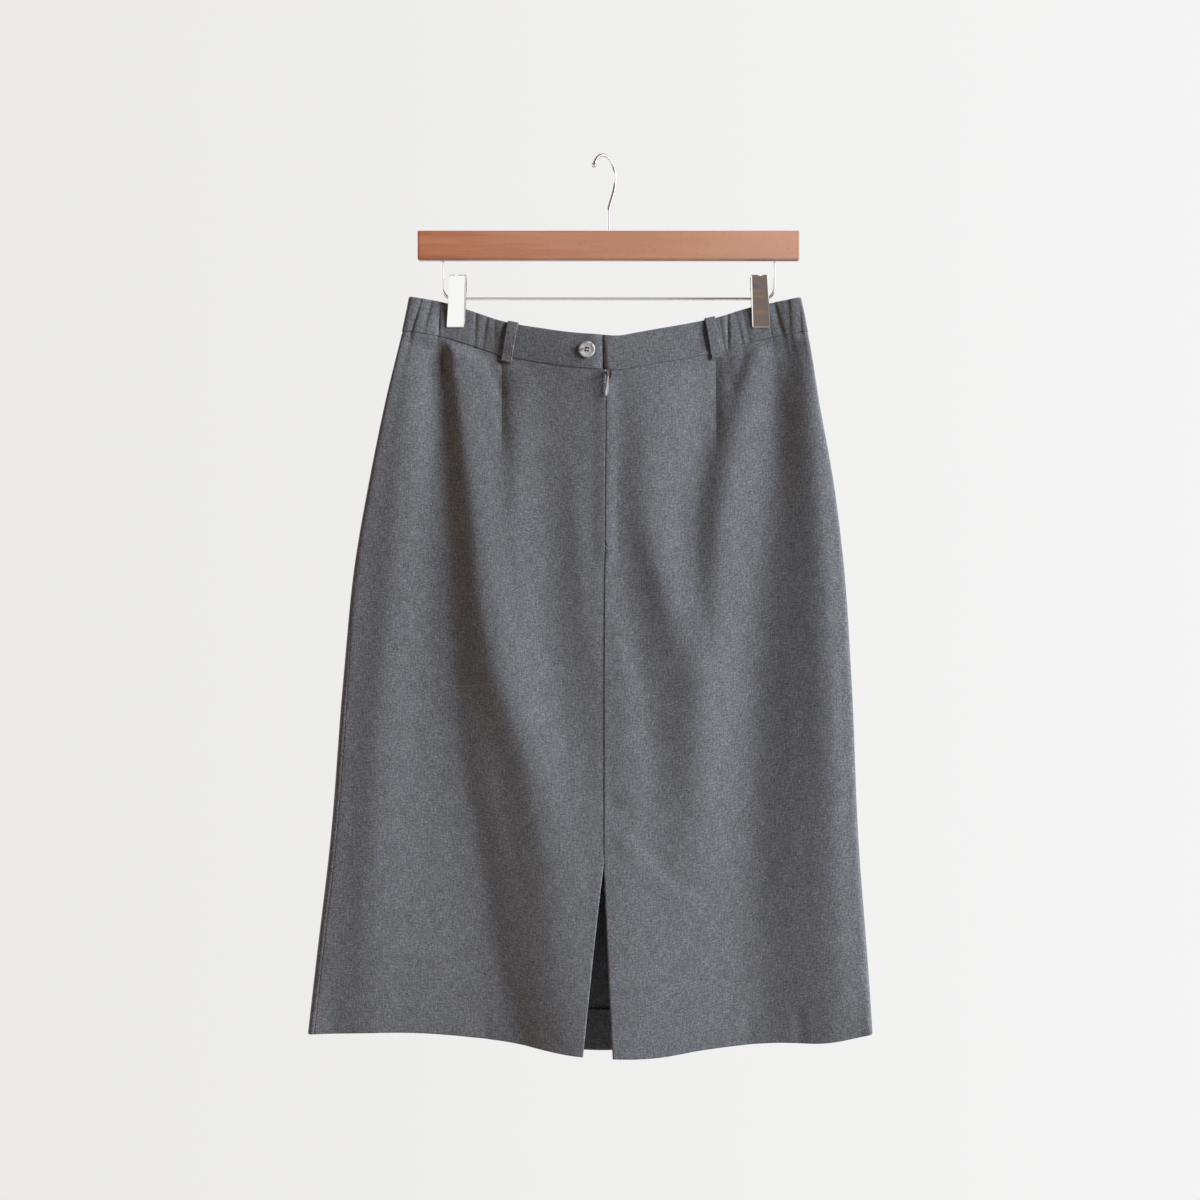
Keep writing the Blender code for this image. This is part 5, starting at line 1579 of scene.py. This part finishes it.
# ---------------------------------------------------------------- clips
# Two spring clips of chromed sheet steel, each a front and a back plate with bent-in sides. A
# coil spring on the rail holds their feet together on the waistband.
CLIP_TOP_BELOW = 0.1115
CLIP_HEIGHT = 0.0490
CLIP_FOOT_BELOW = CLIP_TOP_BELOW + CLIP_HEIGHT
CLIP_TOP_HALF_WIDE = 0.0078
CLIP_TOP_OUT = 0.0088
CLIP_LEAN = 0.0024
CLIP_WALL = 0.0009
CLIP_LIP = 0.0005
CLIP_STEEL = 0.0006
CLIP_BEND = 0.0008
CLIP_FLANGE = 0.0040
CLIP_TUCK = 0.0003
GRIP_OUT = PINCHED + GAP + CLIP_LIP + CLIP_WALL
NOTCH_HALF_WIDE = 0.0030
NOTCH_DEEP = 0.0012
RIVET_RADIUS = 0.0011
RIVET_IN = 0.0026
RIVET_OVER_RAIL = 0.0090
SPRING_RADIUS = 0.0042
SPRING_LONG = 0.0118
SPRING_WIRE = 0.0006
SPRING_TURNS = 8.0

# Down a clip: how far its plates stand out, and how deep their bent-in sides are.
rail_below = -rail_z
clip_below = np.array([CLIP_TOP_BELOW, rail_below, rail_below + 0.010, CLIP_FOOT_BELOW])
clip_out_at = curve_through(clip_below, [
    CLIP_TOP_OUT, CLIP_TOP_OUT - 0.0010, GRIP_OUT + 0.0014, GRIP_OUT])
clip_flange_at = curve_through(clip_below, [
    CLIP_FLANGE * 0.55, CLIP_FLANGE, CLIP_WALL + CLIP_LIP, CLIP_WALL + CLIP_LIP])
clip_rows = np.concatenate((CLIP_TOP_BELOW + np.array([0.0, 0.0003]),
                            np.linspace(CLIP_TOP_BELOW + 0.001, CLIP_FOOT_BELOW - 0.001, 40),
                            CLIP_FOOT_BELOW - np.array([0.0003, 0.0])))
quarter = [(1 - math.sin(a), 1 - math.cos(a)) for a in np.linspace(0, math.pi / 2, 6)]


def clip_ring(below):
    """A clip plate's outline at one height, by distance from its middle and depth behind its
    face: the sheet's outer side and then its inner side. Its ends are a little softened."""
    half = mix(CLIP_TOP_HALF_WIDE, CLIP_HALF_WIDE, (below - CLIP_TOP_BELOW) / CLIP_HEIGHT)
    flange = float(clip_flange_at(below))
    end = min(below - CLIP_TOP_BELOW, CLIP_FOOT_BELOW - below)
    tuck = CLIP_TUCK * (1 - min(end / 0.0010, 1.0)) ** 2
    near_bend = half - CLIP_BEND - 0.0004
    bend_inside = CLIP_BEND - CLIP_STEEL
    outside = [(near_bend - tuck, tuck)]
    outside += [(half - tuck - CLIP_BEND * a, tuck + CLIP_BEND * b) for a, b in quarter]
    outside += [(half - tuck, flange)]
    inside = [(near_bend, CLIP_STEEL)]
    inside += [(half - CLIP_STEEL - bend_inside * a, CLIP_STEEL + bend_inside * b)
               for a, b in quarter]
    inside += [(half - CLIP_STEEL, flange)]
    mirrored_outside = [(-x, d) for x, d in outside]
    mirrored_inside = [(-x, d) for x, d in inside[::-1]]
    return outside[::-1] + mirrored_outside + mirrored_inside + inside


def clip_cutters(side, face):
    """The rivet's hole through a plate's sides, and the notch in the top of a front plate."""
    across = STEM.x + side * CLIP_ACROSS
    cutters = []
    if face < 0:
        notch = [(0.0, -0.004), (NOTCH_HALF_WIDE, -0.004), (NOTCH_HALF_WIDE, 0.004), (0.0, 0.004)]
        notch_at = Matrix.Translation((across, STEM.y + face * CLIP_TOP_OUT,
                                       -CLIP_TOP_BELOW + NOTCH_HALF_WIDE - NOTCH_DEEP))
        notch_at = notch_at @ Matrix.Rotation(math.pi / 2, 4, "X")
        cutters.append(as_mesh("notch", turned(notch, 40, notch_at)))
    rivet = [(0.0, -0.03), (RIVET_RADIUS, -0.03), (RIVET_RADIUS, 0.03), (0.0, 0.03)]
    rivet_at = Matrix.Translation((across, STEM.y + face * (CLIP_TOP_OUT - RIVET_IN),
                                   -rail_below + RIVET_OVER_RAIL))
    rivet_at = rivet_at @ Matrix.Rotation(math.pi / 2, 4, "Y")
    cutters.append(as_mesh("rivet", turned(rivet, 16, rivet_at)))
    return cutters


def clip_plate(name, side, face):
    """A front (face -1) or back (face 1) plate. It leans a little, top towards the stem."""
    shell = bmesh.new()
    rings = []
    for below in clip_rows:
        share = (below - CLIP_TOP_BELOW) / CLIP_HEIGHT
        middle = STEM.x + side * (CLIP_ACROSS + CLIP_LEAN * (share - 0.5))
        out = float(clip_out_at(below))
        rings.append([shell.verts.new((middle + x, STEM.y + face * (out - d), -below))
                      for x, d in clip_ring(below)])
    for upper, lower in zip(rings, rings[1:]):
        for i in range(len(upper)):
            j = (i + 1) % len(upper)
            shell.faces.new((upper[i], upper[j], lower[j], lower[i]))
    for ring in (rings[0], rings[-1]):
        for i in range(len(ring) // 2 - 1):
            shell.faces.new((ring[i], ring[i + 1], ring[-2 - i], ring[-1 - i]))
    bmesh.ops.recalc_face_normals(shell, faces=shell.faces[:])
    plate = cut_away(as_mesh(f"{name}_plate", shell), clip_cutters(side, face))
    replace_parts(add_piece(f"{name}_plate", plate, chrome, "skirt", sharp=14), name)


coil_tree, coil_sockets, given = geometry_tree(
    "coil spring", "Seat", ("Turns", "Radius", "Length", "Wire Radius"), "Coil")
helix = add_node(coil_tree, "GeometryNodeCurveSpiral", {
    "Resolution": 24, "Rotations": given["Turns"], "Start Radius": given["Radius"],
    "End Radius": given["Radius"], "Height": given["Length"]}).outputs[0]
section = add_node(coil_tree, "GeometryNodeCurvePrimitiveCircle", {
    "Resolution": 8, "Radius": given["Wire Radius"]}).outputs[0]
wound = add_node(coil_tree, "GeometryNodeCurveToMesh", {
    "Curve": helix, "Profile Curve": section, "Fill Caps": True}).outputs[0]
placed = add_node(coil_tree, "GeometryNodeInstanceOnPoints", {
    "Points": given["Seat"], "Instance": wound}).outputs[0]
solid = add_node(coil_tree, "GeometryNodeRealizeInstances", {0: placed}).outputs[0]
plated = add_node(coil_tree, "GeometryNodeSetMaterial", {0: solid, "Material": chrome}).outputs[0]
add_node(coil_tree, "NodeGroupOutput", {0: plated})
SPRING_SIZES = (SPRING_TURNS, SPRING_RADIUS - SPRING_WIRE, SPRING_LONG - 2 * SPRING_WIRE,
                SPRING_WIRE)


def clip_spring(hand, side):
    """The coil spring on the rail between a clip's two plates."""
    name = f"clip_{hand}_coil"
    seat_mesh = bpy.data.meshes.new(f"spring_seat_{hand}")
    seat_mesh.from_pydata([(0.0, 0.0, 0.0)], [], [])
    coil = made_by_nodes(name, seat_mesh, coil_tree, coil_sockets, SPRING_SIZES)
    start = STEM.x + side * CLIP_ACROSS - SPRING_LONG / 2 + SPRING_WIRE
    coil.transform(Matrix.Translation((start, STEM.y, rail_z))
                   @ Matrix.Rotation(math.pi / 2, 4, "Y"))
    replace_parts(add_piece(name, coil, chrome, "skirt"), f"clip_{hand}_spring")


for hand, side in (("left", -1), ("right", 1)):
    clip_plate(f"clip_{hand}_front", side, -1)
    clip_plate(f"clip_{hand}_back", side, 1)
    clip_spring(hand, side)
